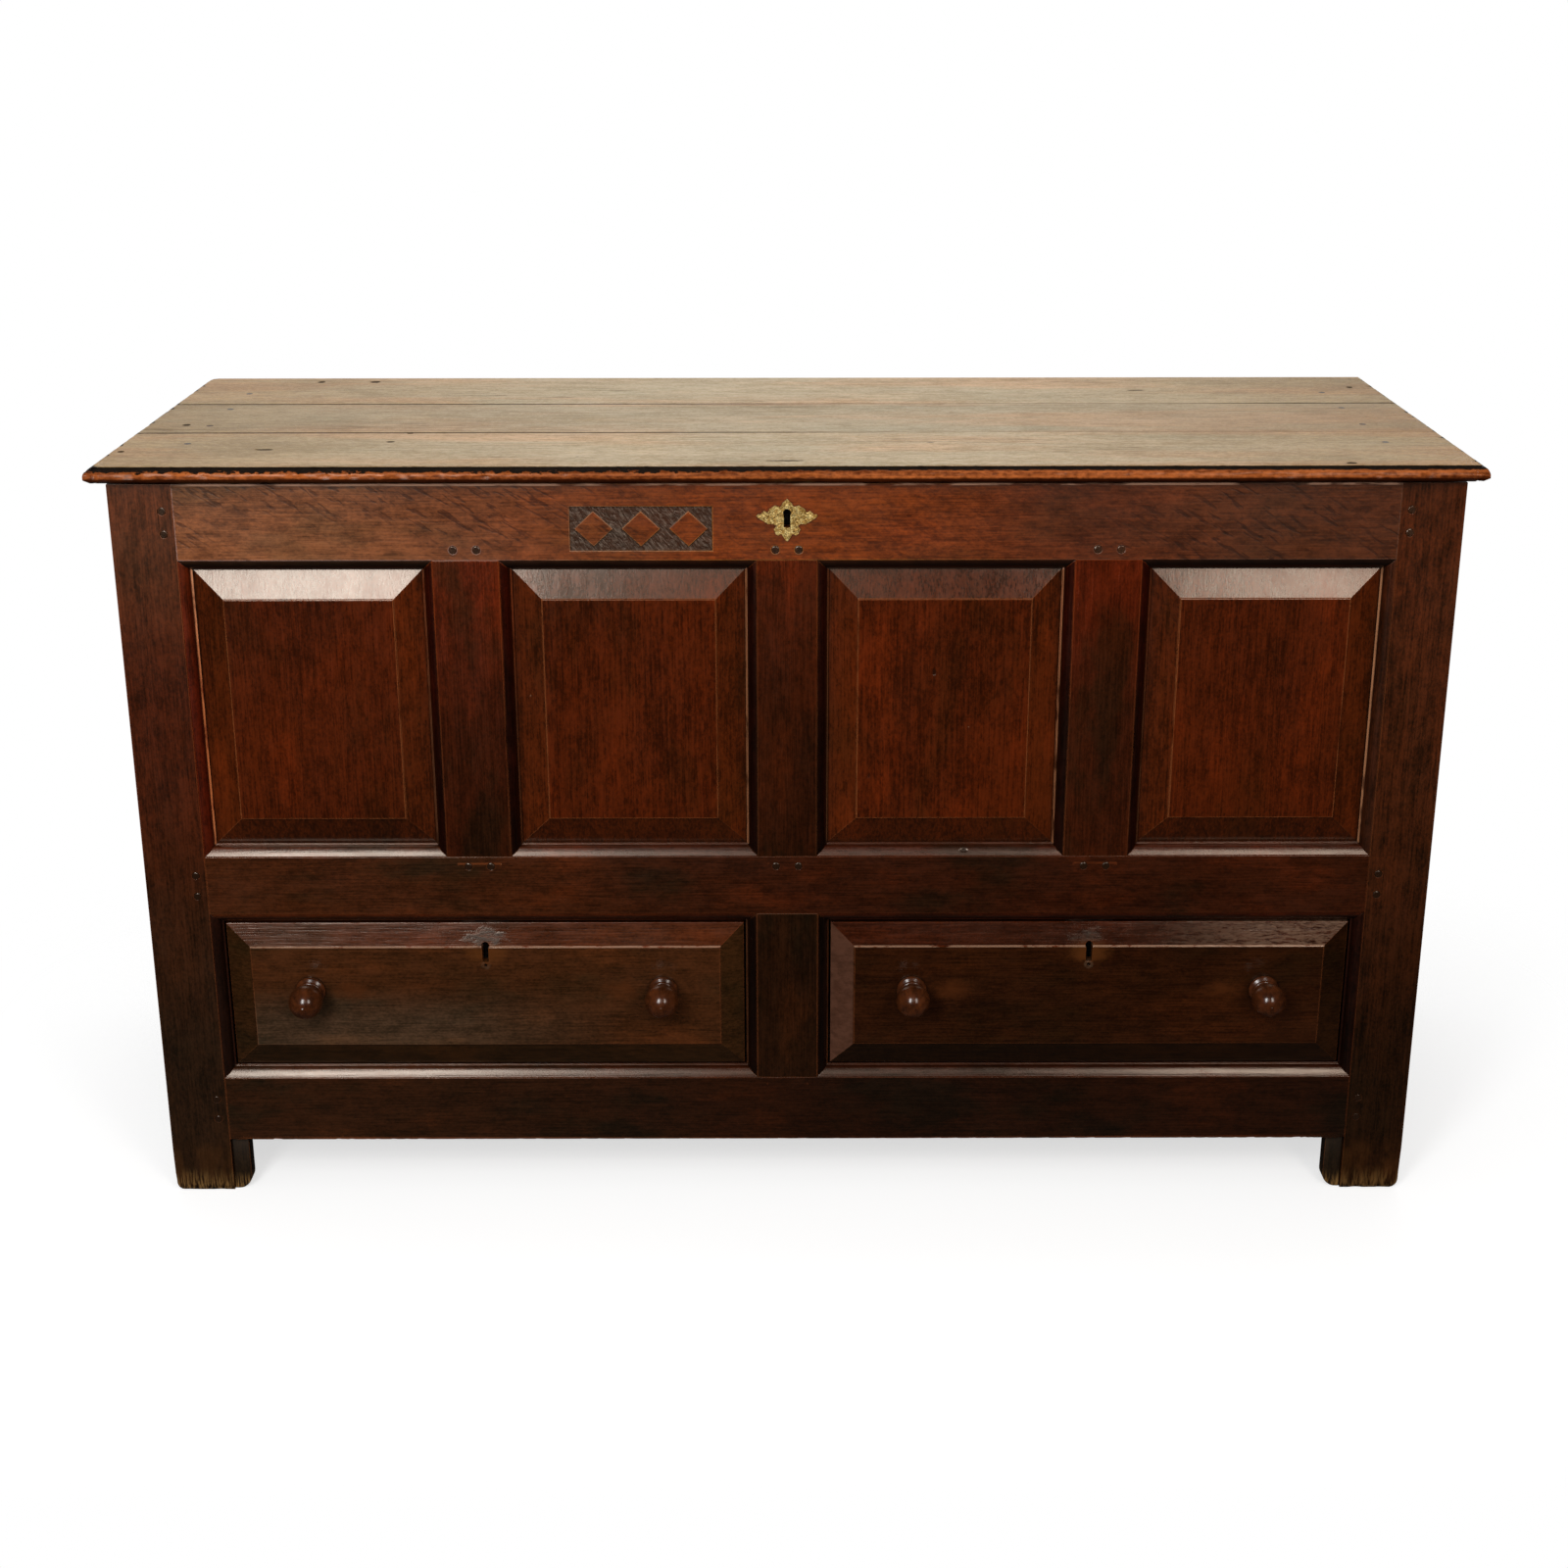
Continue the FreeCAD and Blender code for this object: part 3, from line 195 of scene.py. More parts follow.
def feed(material, colour, roughness, relief, metal=None):
    """Leads a finish to its shader, and returns the shader."""
    tree = material.node_tree
    shader = tree.nodes["Principled BSDF"]
    bump = relief.node("Bump", {"Height": relief, "Distance": 1.0, "Strength": 1.0})
    wires = {"Base Color": colour, "Roughness": roughness, "Normal": bump, "Metallic": metal}
    for name, wire in wires.items():
        if wire:
            tree.links.new(wire.socket, shader.inputs[name])
    return shader


# The near black of painted shade under faces that look down.
painted_shade_black = (0.0025, 0.0012, 0.0008)


def oak(name, grain, dark, light, wax=0.26, shine=0.8, contrast=0.7, wear=0.7, grime=0.75,
        dusk=0.5, patchy=0.2, foot=0.0, sunk=None, sunk_tone=(0.72, 0.9, 0.95), mossy=1.0,
        pale=(0.2, 0.055, 0.016), raised=1.0, dry=None, marks=None):
    """Old oak: streaks, pores, age, wax, worn arrises, and grime and painted shade in the corners.

    grain is the axis it runs along, dark and light are the wood's tones, contrast their spread.
    wax is the roughness, patchy its unevenness, shine the strength of reflections. wear rubs the
    arrises to the colour pale. grime darkens corners with grime and painted shade, and
    paints shade on faces that look down. dusk darkens it towards the floor, foot is the height
    up to which the end is frayed, sunk the depth behind which its colour is multiplied by
    sunk_tone. mossy sets the olive and red patches, raised the height of the grain. marks adds the
    piece's own marks: it takes the colour and the place, and gives the new colour, and may give
    relief and dullness to add. dry gives the share of a place that was never polished.
    """
    material, start, place = fresh(name)
    seed = seed_of(name)

    streaks = cloud(place, grain, 5.0, 260.0, seed, 3.0, 0.7, 0.2)
    pores = cloud(place, grain, 22.0, 520.0, seed, 2.0, 0.6)
    age = cloud(place, grain, 4.0, 9.0, seed, 5.0, 0.62)
    grit = cloud(place, grain, 210.0, 380.0, seed, 2.0, 0.7)
    mottle = cloud(place, grain, 38.0, 75.0, seed + 0.4, 4.0, 0.75)
    wood = ((streaks - 0.5) * 0.9 + (pores - 0.5) * 1.5 + (grit - 0.5) * 1.5
            + (mottle - 0.5) * 1.7 + (age - 0.5) * 1.3) * contrast + 0.5
    colour = start.paint(dark).mix(light, wood.step(-0.05, 1.05))
    patches = cloud(place, grain, 6.0, 15.0, seed + 0.6, 4.0, 0.62)
    colour = colour.glaze((0.5, 0.78, 0.9), patches.step(0.5, 0.68) * mossy)
    colour = colour.glaze((1.6, 1.4, 1.2), (1 - patches.step(0.34, 0.47)) * mossy)

    height = place.along("Z")
    low = 1 - height.step(0.05, 0.72)
    colour = colour.glaze((0.44, 0.72, 0.95), low * dusk)
    if sunk is not None:
        behind = place.along("Y").past(sunk, 0.0003)
        colour = colour.glaze(sunk_tone, behind)

    corner = corners(start, 0.02, 0.92)
    flat = start.node("NewGeometry", out=1)
    round_edge = start.node("Bevel", {"Radius": 0.0016}, samples=4)
    turned = 1 - flat.vector("DOT_PRODUCT", round_edge)
    rub = cloud(place, grain, 16.0, 60.0, seed + 0.2, 3.0, 0.65)
    arris = turned.step(0.01, 0.05) * (1 - corner * 0.5) * rub.step(0.25, 0.5)
    colour = colour.mix(pale, arris * wear)
    # Corners are darkened, partly as grime and partly as painted shade. Faces that look down are
    # painted darker, and near black where they look more steeply down, as painted shade.
    colour = colour.mix((0.005, 0.0022, 0.0008), corner * grime)
    down = 0 - place.facing().along("Z")
    overhang = down.step(0.12, 0.32)
    colour = colour.glaze((0.45, 0.5, 0.5), overhang * grime)
    soffit = down.step(0.35, 0.6)
    colour = colour.mix(painted_shade_black, soffit * grime)

    nicks = specks(place, 0.07, 0.3, 0.02)
    dents = specks(stretched(place, grain, 0.7, 1.3, seed), 0.09, 0.3, 0.045)
    colour = colour.mix((0.3, 0.17, 0.09), nicks * 0.5)
    colour = colour.mix((0.006, 0.003, 0.0015), dents * 0.7)
    if foot:
        fibres = cloud(place, grain, 30.0, 420.0, seed, 3.0, 0.7)
        frayed = (1 - height.step(0.002, foot)) * fibres.step(0.42, 0.6)
        colour = colour.mix((0.3, 0.16, 0.05), frayed * 0.8)

    worn_wax = cloud(place, grain, 5.0, 12.0, seed + 0.9, 3.0, 0.6)
    polish = ((worn_wax - 0.5) * patchy + (pores - 0.5) * 0.14 + (mottle - 0.5) * 0.12
              + corner * 0.08 + wax)
    waves = cloud(place, grain, 7.0, 22.0, seed + 0.1, 2.0, 0.5)
    relief = ((streaks * 0.00008 + pores * 0.0001 + grit * 0.00003) * raised + waves * 0.0004
              - dents * 0.0005 - nicks * 0.0002)
    if marks:
        made = {"relief": 0, "dull": 0, **marks(colour, place)}
        colour = made["colour"]
        relief = relief + made["relief"]
        polish = polish + made["dull"]
    if dry:
        unpolished = dry(place)
        bare = start.paint((0.06, 0.037, 0.02)).mix((0.2, 0.128, 0.07), wood.step(0.0, 1.0))
        # Corners of the bare wood are darkened, partly as grime and partly as painted shade.
        bare = bare.mix((0.008, 0.005, 0.003), corner * 0.7)
        colour = colour.mix(bare, unpolished)
        polish = polish + unpolished * 0.4
    polish = polish.node("Clamp", {"Value": polish, "Min": 0.12, "Max": 0.9})
    shader = feed(material, colour, polish, relief)
    shader.inputs["Specular IOR Level"].default_value = shine
    shader.inputs["Specular Tint"].default_value = rgba((1.0, 0.85, 0.72))
    return material


def finish_node(node, material, arris=0.0006):
    """Gives a member its finish, and eases its arrises as a plane stroke does."""
    piece = nodes[node]
    piece.data.materials.clear()
    piece.data.materials.append(material)
    if arris:
        piece.modifiers.new("welded", "WELD").merge_threshold = 2e-5
        joined = piece.modifiers.new("joined", "DECIMATE")
        joined.decimate_type = "DISSOLVE"
        joined.angle_limit = math.radians(0.5)
        eased = piece.modifiers.new("eased", "BEVEL")
        eased.width = arris
        eased.segments = 2
        eased.limit_method = "ANGLE"
        eased.angle_limit = math.radians(35)
        eased.use_clamp_overlap = False
        eased.harden_normals = False
        shaded = piece.modifiers.new("shaded", "WEIGHTED_NORMAL")
        shaded.keep_sharp = True
    return piece


def rough(point, spacing, seed=0.0):
    """Smooth noise from about -1 to 1, its bumps about spacing apart."""
    return noise.noise(Vector(point) / spacing + Vector((seed, 2 * seed, 3 * seed)))


def placed(name, data):
    """A new object in the scene."""
    made = bpy.data.objects.new(name, data)
    bpy.context.scene.collection.objects.link(made)
    return made


def worn(node, body, material, cuts, shape, arris=0.0006, run=None):
    """A worn copy of a member in its place: divided by cuts, then each point moved by shape.

    Each cut is a test that picks faces, an axis, where it starts and ends, and its spacing. A run
    is a test that picks edges, an axis and a spacing, at which edges along that axis are divided.
    """
    member = finish_node(node, material, arris)
    graph = bpy.context.evaluated_depsgraph_get()
    mesh = bpy.data.meshes.new_from_object(member.evaluated_get(graph))
    work = bmesh.new()
    work.from_mesh(mesh)
    for picks, axis, first, last, spacing in cuts:
        across = Vector([float(axis == letter) for letter in "XYZ"])
        faces = [face for face in work.faces if picks(face.calc_center_median())]
        ends = {end for face in faces for end in (*face.verts, *face.edges)}
        cut = faces + list(ends)
        steps = max(1, round((last - first) / spacing))
        for i in range(steps + 1):
            here = across * (first + (last - first) * i / steps)
            cut = bmesh.ops.bisect_plane(work, geom=cut, dist=1e-6, plane_co=here,
                                         plane_no=across)["geom"]
    if run:
        picks, axis, spacing = run
        along = "XYZ".index(axis)
        lengths = {}
        for edge in work.edges:
            span = edge.verts[1].co - edge.verts[0].co
            length = span.length
            if abs(span[along]) > 0.99 * length > 2 * spacing and picks(edge.verts[0].co):
                lengths[edge] = length
        bmesh.ops.subdivide_edges(work, edges=list(lengths), use_grid_fill=True,
                                  cuts=round(max(lengths.values()) / spacing))
    work.normal_update()
    moves = {corner: Vector(shape(corner.co, corner.normal)) for corner in work.verts}
    bent = [face for face in work.faces
            if len(face.verts) > 4 and any(moves[corner].length > 1e-6 for corner in face.verts)]
    bmesh.ops.triangulate(work, faces=bent)
    for corner, move in moves.items():
        corner.co += move
    work.to_mesh(mesh)
    work.free()
    mesh.shade_smooth()
    mesh.set_sharp_from_angle(angle=math.radians(32))
    piece = placed("worn_" + node, mesh)
    piece.modifiers.new("shaded", "WEIGHTED_NORMAL").keep_sharp = True
    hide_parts(node)
    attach(piece, body)
    return piece


def anywhere(point):
    return True


def foot_shape(node):
    """Rounds a foot's outer corners at the floor and wears its end, and leaves the rest alone."""
    low, high = (Vector(corner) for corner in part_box(node))
    middle = (low + high) / 2
    half = (high - low) / 2
    round_radius = 0.012
    worn_height = 0.055

    def shape(point, normal):
        if point.z > worn_height:
            return (0, 0, 0)
        under = max(0.0, 1 - point.z / round_radius)
        inset = round_radius * (1 - math.sqrt(1 - under * under))
        inset += 0.0016 * (1 + rough(point, 0.012, 4)) * (1 - point.z / worn_height)
        outward = (point.x - middle.x) / half.x * (1 if middle.x > 0 else -1)
        side = -math.copysign(inset, middle.x) * max(0.0, outward)
        rise = 0.002 * max(0.0, rough(point, 0.014, 7)) if point.z < 0.001 else 0
        return (side, -(point.y - middle.y) / half.y * inset * 0.25, rise)

    return shape


def is_foot(point):
    return point.z < 0.07


def stile_marks(colour, place):
    """Tones of the mouldings on the inner edges, painted dark as shade beside the drawers, and a
    pale line rubbed on them. The left stile's top painted paler as a sheen, its redder middle, the
    right one's darker foot, and bare patches on the feet."""
    across, depth, height = place.apart()
    inside = 1 - place.from_x().past(moulding_x + 0.0002)
    behind = depth.past(stile_face + 0.0012, 0.0004)
    panel_high = height.step(0.39, 0.43)
    # Painted shade: the mouldings beside the drawers are darkened, as the shade in them.
    colour = colour.glaze((0.4, 0.26, 0.24), inside * behind * (1 - panel_high))
    at_right = across.step(-0.1, 0.1)
    colour = colour.glaze((1.2, 0.6, 0.3), inside * behind * panel_high * (1 - at_right))
    colour = colour.glaze((0.62, 0.65, 0.8), inside * behind * panel_high * at_right)
    rubbed = cloud(place, "Z", 25.0, 150.0, 0.35, 3.0, 0.6).step(0.3, 0.5)
    line = depth.within(stile_face + 0.0106, stile_face + 0.0124, 0.0003)
    colour = colour.mix((0.42, 0.19, 0.09), inside * line * rubbed * panel_high * 0.75)
    # Painted sheen: the left stile's top is glazed paler and greyer, as a reflection.
    painted_sheen_top = height.step(0.62, 0.9) * (1 - across.step(-0.5, 0.5))
    colour = colour.glaze((2.3, 2.3, 2.5), painted_sheen_top)
    middle = height.within(0.43, 0.7, 0.1) * (1 - at_right)
    colour = colour.glaze((1.35, 0.9, 0.6), middle)
    low_right = at_right * (1 - height.step(0.2, 0.6))
    colour = colour.glaze((0.66, 0.62, 0.6), low_right)
    bare = cloud(place, "Z", 22.0, 50.0, 0.8, 3.0, 0.6).step(0.4, 0.62)
    bare = bare * height.within(0.012, 0.062, 0.012)
    return {"colour": colour.mix((0.1, 0.035, 0.008), bare * 0.25)}


def stile_inside(place):
    """Where the front stiles face the inside of the chest."""
    behind = place.along("Y").past(stile_face + 0.0285)
    inward = 1 - place.from_x().past(stile_x + 0.0004)
    back = place.along("Y").past(stile_face + 0.0476)
    return back.most(behind * inward)


stile_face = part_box("front_left_stile")[0][1]
stile_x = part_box("foot_blocks")[1][0]
moulding_width = 0.013
moulding_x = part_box("front_right_stile")[0][0] + moulding_width
stile_dark = (0.015, 0.0042, 0.0011)
stile_light = (0.072, 0.0165, 0.004)
redder = (0.1, 0.02, 0.004)
for node, light, shine in (("front_left_stile", stile_light, 0.5),
                           ("front_right_stile", redder, 0.38)):
    low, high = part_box(node)
    cuts = [(anywhere, "Z", 0.057, 0.06, 0.003), (is_foot, "Z", 0.002, 0.026, 0.003),
            (is_foot, "X", low[0], high[0], 0.006), (is_foot, "Y", low[1], high[1], 0.006)]
    worn(node, "carcass",
         oak(node, "Z", stile_dark, light, wax=0.33, shine=shine, dusk=1.0, foot=0.034, mossy=0.4,
             dry=stile_inside, marks=stile_marks),
         cuts, foot_shape(node))


# ----------
# The back stiles: posts of the same oak, mortised for the side and back rails. Their outer
# sides are waxed. The faces towards the wall and the inside have stayed dry.

def dry_back(colour, place):
    """The faces towards the wall have stayed dry and brown."""
    behind = place.along("Y").past(back_y - 0.0009, 0.0003)
    fibres = cloud(place, "Z", 6.0, 120.0, 0.3, 4.0, 0.7)
    dry = place.paint((0.034, 0.02, 0.0105)).mix((0.135, 0.083, 0.042), fibres.step(0.3, 0.7))
    return {"colour": colour.mix(dry, behind * 0.92), "relief": fibres * behind * 0.0002}


def back_stile_inside(place):
    """Where the back stiles face the inside of the chest."""
    inward = 1 - place.from_x().past(stile_x + 0.0004)
    front = 1 - place.along("Y").past(back_y - 0.0476)
    return front.most(inward)


def finish_oak(node, grain, dark, light, arris=0.0006, **finish):
    """Gives a member an oak finish of its own."""
    finish_node(node, oak(node, grain, dark, light, **finish), arris)


back_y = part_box("back_left_stile")[1][1]
for node in ("back_left_stile", "back_right_stile"):
    finish_oak(node, "Z", stile_dark, stile_light, wax=0.36, shine=0.5, foot=0.03,
               dry=back_stile_inside, marks=dry_back)


# ----------
# The front rails, tenoned and pegged into the stiles. The top rail is quarter sawn and shows
# its rays. Its tablet is a shallow sunk panel with a gouged ground. The lower rails are worn.

front_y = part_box("front_top_rail")[0][1]
tablet_x = (-0.241, -0.083)
tablet_z = (0.804, 0.854)


def top_rail_marks(colour, place):
    """Slanted ticks of the rays, a sheen painted pale at the left and a warm middle, the upper
    arris rubbed pale with its highlight painted on, the lower moulding painted near black as shade,
    and the tablet's ground, gouged and never polished."""
    across, depth, height = place.apart()
    slant = place.node("Mapping", {"Vector": place, "Rotation": (0, math.radians(-32), 0)})
    ticks = cloud(slant, "X", 40.0, 210.0, 0.35, 2.0, 0.5, 0.3).step(0.55, 0.63)
    where = cloud(place, "X", 5.0, 12.0, 0.15, 2.0, 0.5).step(0.36, 0.56)
    where = where * (0.35 + place.from_x(0.1).step(0.2, 0.4) * 0.65)
    colour = colour.glaze((0.34, 0.28, 0.28), ticks * where * 0.8)
    # Painted sheen: the left end is glazed paler and greyer, as a reflection.
    painted_sheen_left = 1 - across.step(-0.6, -0.12)
    colour = colour.glaze((1.7, 2.7, 4.6), painted_sheen_left)
    warm = 1 - place.from_x().step(0.08, 0.36)
    colour = colour.glaze((1.55, 1.35, 0.5), warm)
    colour = colour.glaze((0.68, 0.5, 0.4), across.step(0.1, 0.55))
    colour = colour.glaze((1.0, 1.5, 2.2), across.step(0.3, 0.5))
    # The upper arris: rubbed pale, and its highlight painted on with it.
    rubbed = cloud(place, "X", 20.0, 90.0, 0.5, 3.0, 0.6).step(0.38, 0.55)
    arris = height.past(rail_top - 0.0023, 0.0007)
    arris = arris * (1 - depth.past(front_y + 0.00325, 0.00075))
    colour = colour.mix((0.62, 0.34, 0.22), arris * rubbed * 0.85)
    # Painted shade: the lower moulding, which faces down, is painted near black.
    run = depth.past(front_y + 0.0012, 0.0004)
    low_edge = 1 - height.past(panel_top + 0.0127, 0.0007)
    low_edge = low_edge * (1 - depth.past(front_y + 0.01475, 0.00025))
    colour = colour.mix(painted_shade_black, run * low_edge * 0.9)
    ground = (depth.past(front_y + 0.0017, 0.0005)
              * (1 - depth.past(front_y + 0.0065, 0.0005))
              * across.within(*tablet_x, 0.0005)
              * height.within(*tablet_z, 0.0005))
    turned = place.node("Mapping", {"Vector": place, "Rotation": (0, math.radians(-55), 0)})
    gouges = cloud(turned, "X", 110.0, 330.0, 0.8, 2.0, 0.5, 0.6)
    bare = cloud(place, "X", 260.0, 260.0, 0.1, 2.0, 0.6).step(0.55, 0.7)
    floor = place.paint((0.022, 0.013, 0.008))
    floor = floor.mix((0.13, 0.1, 0.075), gouges.step(0.45, 0.75) * 0.8)
    floor = floor.mix((0.2, 0.16, 0.12), bare * 0.25)
    return {"colour": colour.mix(floor, ground * 0.85),
            "relief": gouges * ground * 0.0016 - ticks * where * 0.00006}


def beyond(edge):
    """Picks what lies behind a depth, as a member's back does."""
    return lambda place: place.along("Y").past(edge)


frame_back = front_y + 0.0275
panel_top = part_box("front_top_rail")[0][2]
rail_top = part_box("front_top_rail")[1][2]
finish_oak("front_top_rail", "X", (0.046, 0.0085, 0.0016), (0.19, 0.0385, 0.0072), wax=0.36,
           shine=0.6, contrast=0.65, patchy=0.3, dusk=0.0, mossy=0.4, pale=(0.4, 0.18, 0.1),
           dry=beyond(frame_back), marks=top_rail_marks)


def flatter_mouldings(opening_z):
    """Wears the round mouldings over a height down to a steep slope with a ledge behind."""
    hollow, depth = 0.011, 0.0105
    slope_share = 0.75
    flatness = 0.7

    def shape(point, normal):
        inset = point.z - opening_z
        back = point.y - front_y - 0.0015
        if not (-0.0005 < inset < hollow + 0.0005 and 0 < back < depth + 0.0005):
            return (0, 0, 0)
        if abs(normal.x) > 0.9:
            return (0, 0, 0)
        turn = math.atan2(inset / hollow, max(0.0, 1 - back / depth)) / (math.pi / 2)
        if turn < slope_share:
            slope = turn / slope_share
            slope_back, slope_up = 0.5 * depth * slope, 0.9 * hollow * slope
        else:
            ledge = (turn - slope_share) / (1 - slope_share)
            slope_back, slope_up = depth * (0.5 + 0.5 * ledge), hollow * (0.9 + 0.1 * ledge)
        return (0, flatness * (slope_back - back), flatness * (slope_up - inset))

    return shape


def paler_at_left(colour, place):
    """The long rails are paler at the left, and darker and redder towards the right."""
    colour = colour.glaze((0.62, 0.5, 0.44), place.along("X").step(-0.5, 0.08))
    return {"colour": colour.times((1.25, 1.2, 1.15))}


def worn_sill(point, normal):
    """The bottom rail's flattened mouldings, and the chips along its lower edge."""
    if point.z > foot_height + 0.0015 or point.y > front_y + 0.01:
        return flatten_sill(point, normal)
    chip = max(0.0, rough((point.x, 0, 0), 0.011, 3) - 0.15)
    chip += max(0.0, rough((point.x, 0, 0), 0.004, 5) - 0.3) * 0.6
    return (0, 0.0015 * chip, 0.004 * chip)


def is_lower_arris(point):
    return point.z < foot_height + 0.004 and point.y < front_y + 0.01


foot_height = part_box("front_bottom_rail")[0][2]
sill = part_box("front_bottom_rail")[1][2] - moulding_width
panel_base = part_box("front_middle_rail")[1][2] - moulding_width
flatten_sill = flatter_mouldings(sill)
worn("front_middle_rail", "carcass",
     oak("front_middle_rail", "X", (0.02, 0.0052, 0.0012), (0.07, 0.017, 0.0042), dusk=0.2,
         sunk=front_y + 0.001, sunk_tone=(1.3, 1.0, 0.8), dry=beyond(frame_back),
         marks=paler_at_left),
     [], flatter_mouldings(panel_base))
worn("front_bottom_rail", "carcass",
     oak("front_bottom_rail", "X", (0.013, 0.0042, 0.0012), (0.042, 0.0118, 0.0033), dusk=0.3,
         wax=0.24, sunk=front_y + 0.001, sunk_tone=(1.8, 1.3, 0.9),
         dry=beyond(frame_back), marks=paler_at_left),
     [(anywhere, "Z", foot_height + 0.004, foot_height + 0.008, 0.004)], worn_sill,
     run=(is_lower_arris, "X", 0.004))


# ----------
# The muntins between the panels and the divider between the drawers: oak uprights with the same
# mouldings run on their edges, tenoned and pegged into the rails.

def muntin_marks(rubbed, low_tone, high_tone):
    """Tones of the lower and upper part, and a pale line on the moulding that faces left, towards
    the light: partly rubbed wear, partly a painted highlight.
    """

    def marks(colour, place):
        high = place.along("Z").step(0.58, 0.77)
        colour = colour.times(low_tone).mix(colour.times(high_tone), high)
        # A pale line on the left-facing moulding: partly rubbed wear, partly a painted highlight.
        arris = place.along("Y").within(front_y + 0.0106, front_y + 0.0124, 0.0003)
        leftward = 1 - place.facing().along("X").step(-0.3, 0.1)
        dust = cloud(place, "Z", 30.0, 200.0, rubbed, 3.0, 0.6).step(0.3, 0.5)
        line = arris * leftward * dust
        return {"colour": colour.mix((0.42, 0.17, 0.075), line * rubbed)}

    return marks


plain = (1.0, 1.0, 1.0)
muntin_tones = ((0.02, 0.0042, 0.0009), (0.072, 0.0125, 0.0024))
divider_tones = ((0.01, 0.003, 0.0008), (0.034, 0.009, 0.0024))
for node, tones, rubbed, low_tone, high_tone in (
        ("front_muntin_1", muntin_tones, 0.25, (0.92, 0.88, 0.9), (2.2, 1.45, 1.0)),
        ("front_muntin_2", muntin_tones, 0.9, (0.62, 0.7, 0.75), (1.3, 1.1, 0.8)),
        ("front_muntin_3", muntin_tones, 0.8, (0.92, 0.9, 0.9), (1.75, 1.15, 0.9)),
        ("drawer_divider", divider_tones, 0.1, plain, plain)):
    # Painted shade: the mouldings behind the face are darkened nearly to black.
    finish_oak(node, "Z", *tones, shine=0.45, sunk=front_y + 0.001, sunk_tone=(0.25, 0.2, 0.2),
               dry=beyond(frame_back), marks=muntin_marks(rubbed, low_tone, high_tone))


# ----------
# The four fielded panels of the front, slid into the grooves of the frame. Redder than the
# frame, with a bevelled margin that takes the light at the top.

panel_back = front_y + 0.0204
for node in ("front_panel_1", "front_panel_2", "front_panel_3", "front_panel_4"):
    finish_oak(node, "Z", (0.028, 0.0046, 0.0007), (0.108, 0.0155, 0.002), wax=0.2,
               contrast=0.8, patchy=0.12, dusk=0.25, sunk=front_y + 0.0052, mossy=0.5,
               sunk_tone=(1.0, 1.15, 1.25), wear=1.0, pale=(0.34, 0.1, 0.03), raised=0.5,
               dry=beyond(panel_back))


# ----------
# The sides: rails, a muntin and fielded panels, of the same oak and make as the front. Waxed
# outside, and dry where they face the inside of the chest.

def inside_of(face_x):
    """Picks the faces of side members towards the inside of the chest, which lie at face_x."""
    return lambda place: 1 - place.from_x().past(face_x + 0.0005)


member_inner_x = 0.722
panel_inner_x = 0.729
for node in ("side_top_rails", "side_middle_rails", "side_bottom_rails", "side_muntins"):
    grain = "Z" if node == "side_muntins" else "Y"
    finish_oak(node, grain, stile_dark, stile_light, wax=0.38, shine=0.5, mossy=0.5,
               dry=inside_of(member_inner_x))
for node in ("side_upper_panels", "side_lower_panels"):
    finish_oak(node, "Z", (0.016, 0.0034, 0.0008), (0.11, 0.0195, 0.0035), wax=0.34,
               shine=0.5, mossy=0.5, raised=0.6, dry=inside_of(panel_inner_x))


# ----------
# The back: plain oak rails and muntins, tenoned together, with flat panels in their grooves.
# It stands against a wall: never polished, dry, and brown from smoke and dust.

back_tones = ((0.06, 0.036, 0.02), (0.2, 0.125, 0.07))


def dry_oak(node, grain, wax, tones=back_tones, **changes):
    """Finishes a member of oak that was never polished."""
    dry = {"shine": 0.2, "wear": 0.2, "dusk": 0.1, "mossy": 0.15, **changes}
    finish_oak(node, grain, *tones, wax=wax, **dry)


for node in ("back_top_rail", "back_middle_rail", "back_bottom_rail"):
    dry_oak(node, "X", 0.72)
for node in ("back_muntins", "back_panels"):
    dry_oak(node, "Z", 0.72)


# ----------
# The oak pegs of the frame joints, riven and driven through the tenons, their heads standing a
# little proud.

def peg_marks(colour, place):
    """The pegs low on the chest have gone as dark as the frame round them."""
    low = 1 - place.along("Z").step(0.6, 0.75)
    return {"colour": colour.mix((0.016, 0.0055, 0.0018), low * 0.85)}


finish_oak("frame_pegs", "Y", (0.016, 0.007, 0.0035), (0.055, 0.024, 0.012), arris=0.001,
           wear=0.4, grime=0.7, marks=peg_marks)


# ----------
# The well's floor boards, in grooves in the middle rails, and under them the runners, kickers
# and guides of the drawers. All of dry, unpolished oak.

dry_oak("well_floor_boards", "Y", 0.75, arris=0, wear=0.1, dusk=0.0)
for node in ("drawer_runners", "drawer_guides", "drawer_kickers"):
    dry_oak(node, "Y", 0.7)


# ----------
# The oak blocks glued inside the feet, behind the bottom rails. Dark at the floor, with their
# inner corners worn round.

def block_shape(point, normal):
    """Rounds each block's inner corner at the floor, and brings its foot under the rail."""
    forward = 0.0
    if point.y < 0 and point.z < foot_height - 0.0004:
        forward = -block_reach - block_slope * (point.y - block_front)
    round_radius = 0.017
    under = max(0.0, 1 - point.z / round_radius)
    inset = round_radius * (1 - math.sqrt(1 - under * under))
    inner = max(0.0, min(1.0, (block_outside - abs(point.x)) / block_width))
    return (math.copysign(inset * inner, point.x), forward, 0)


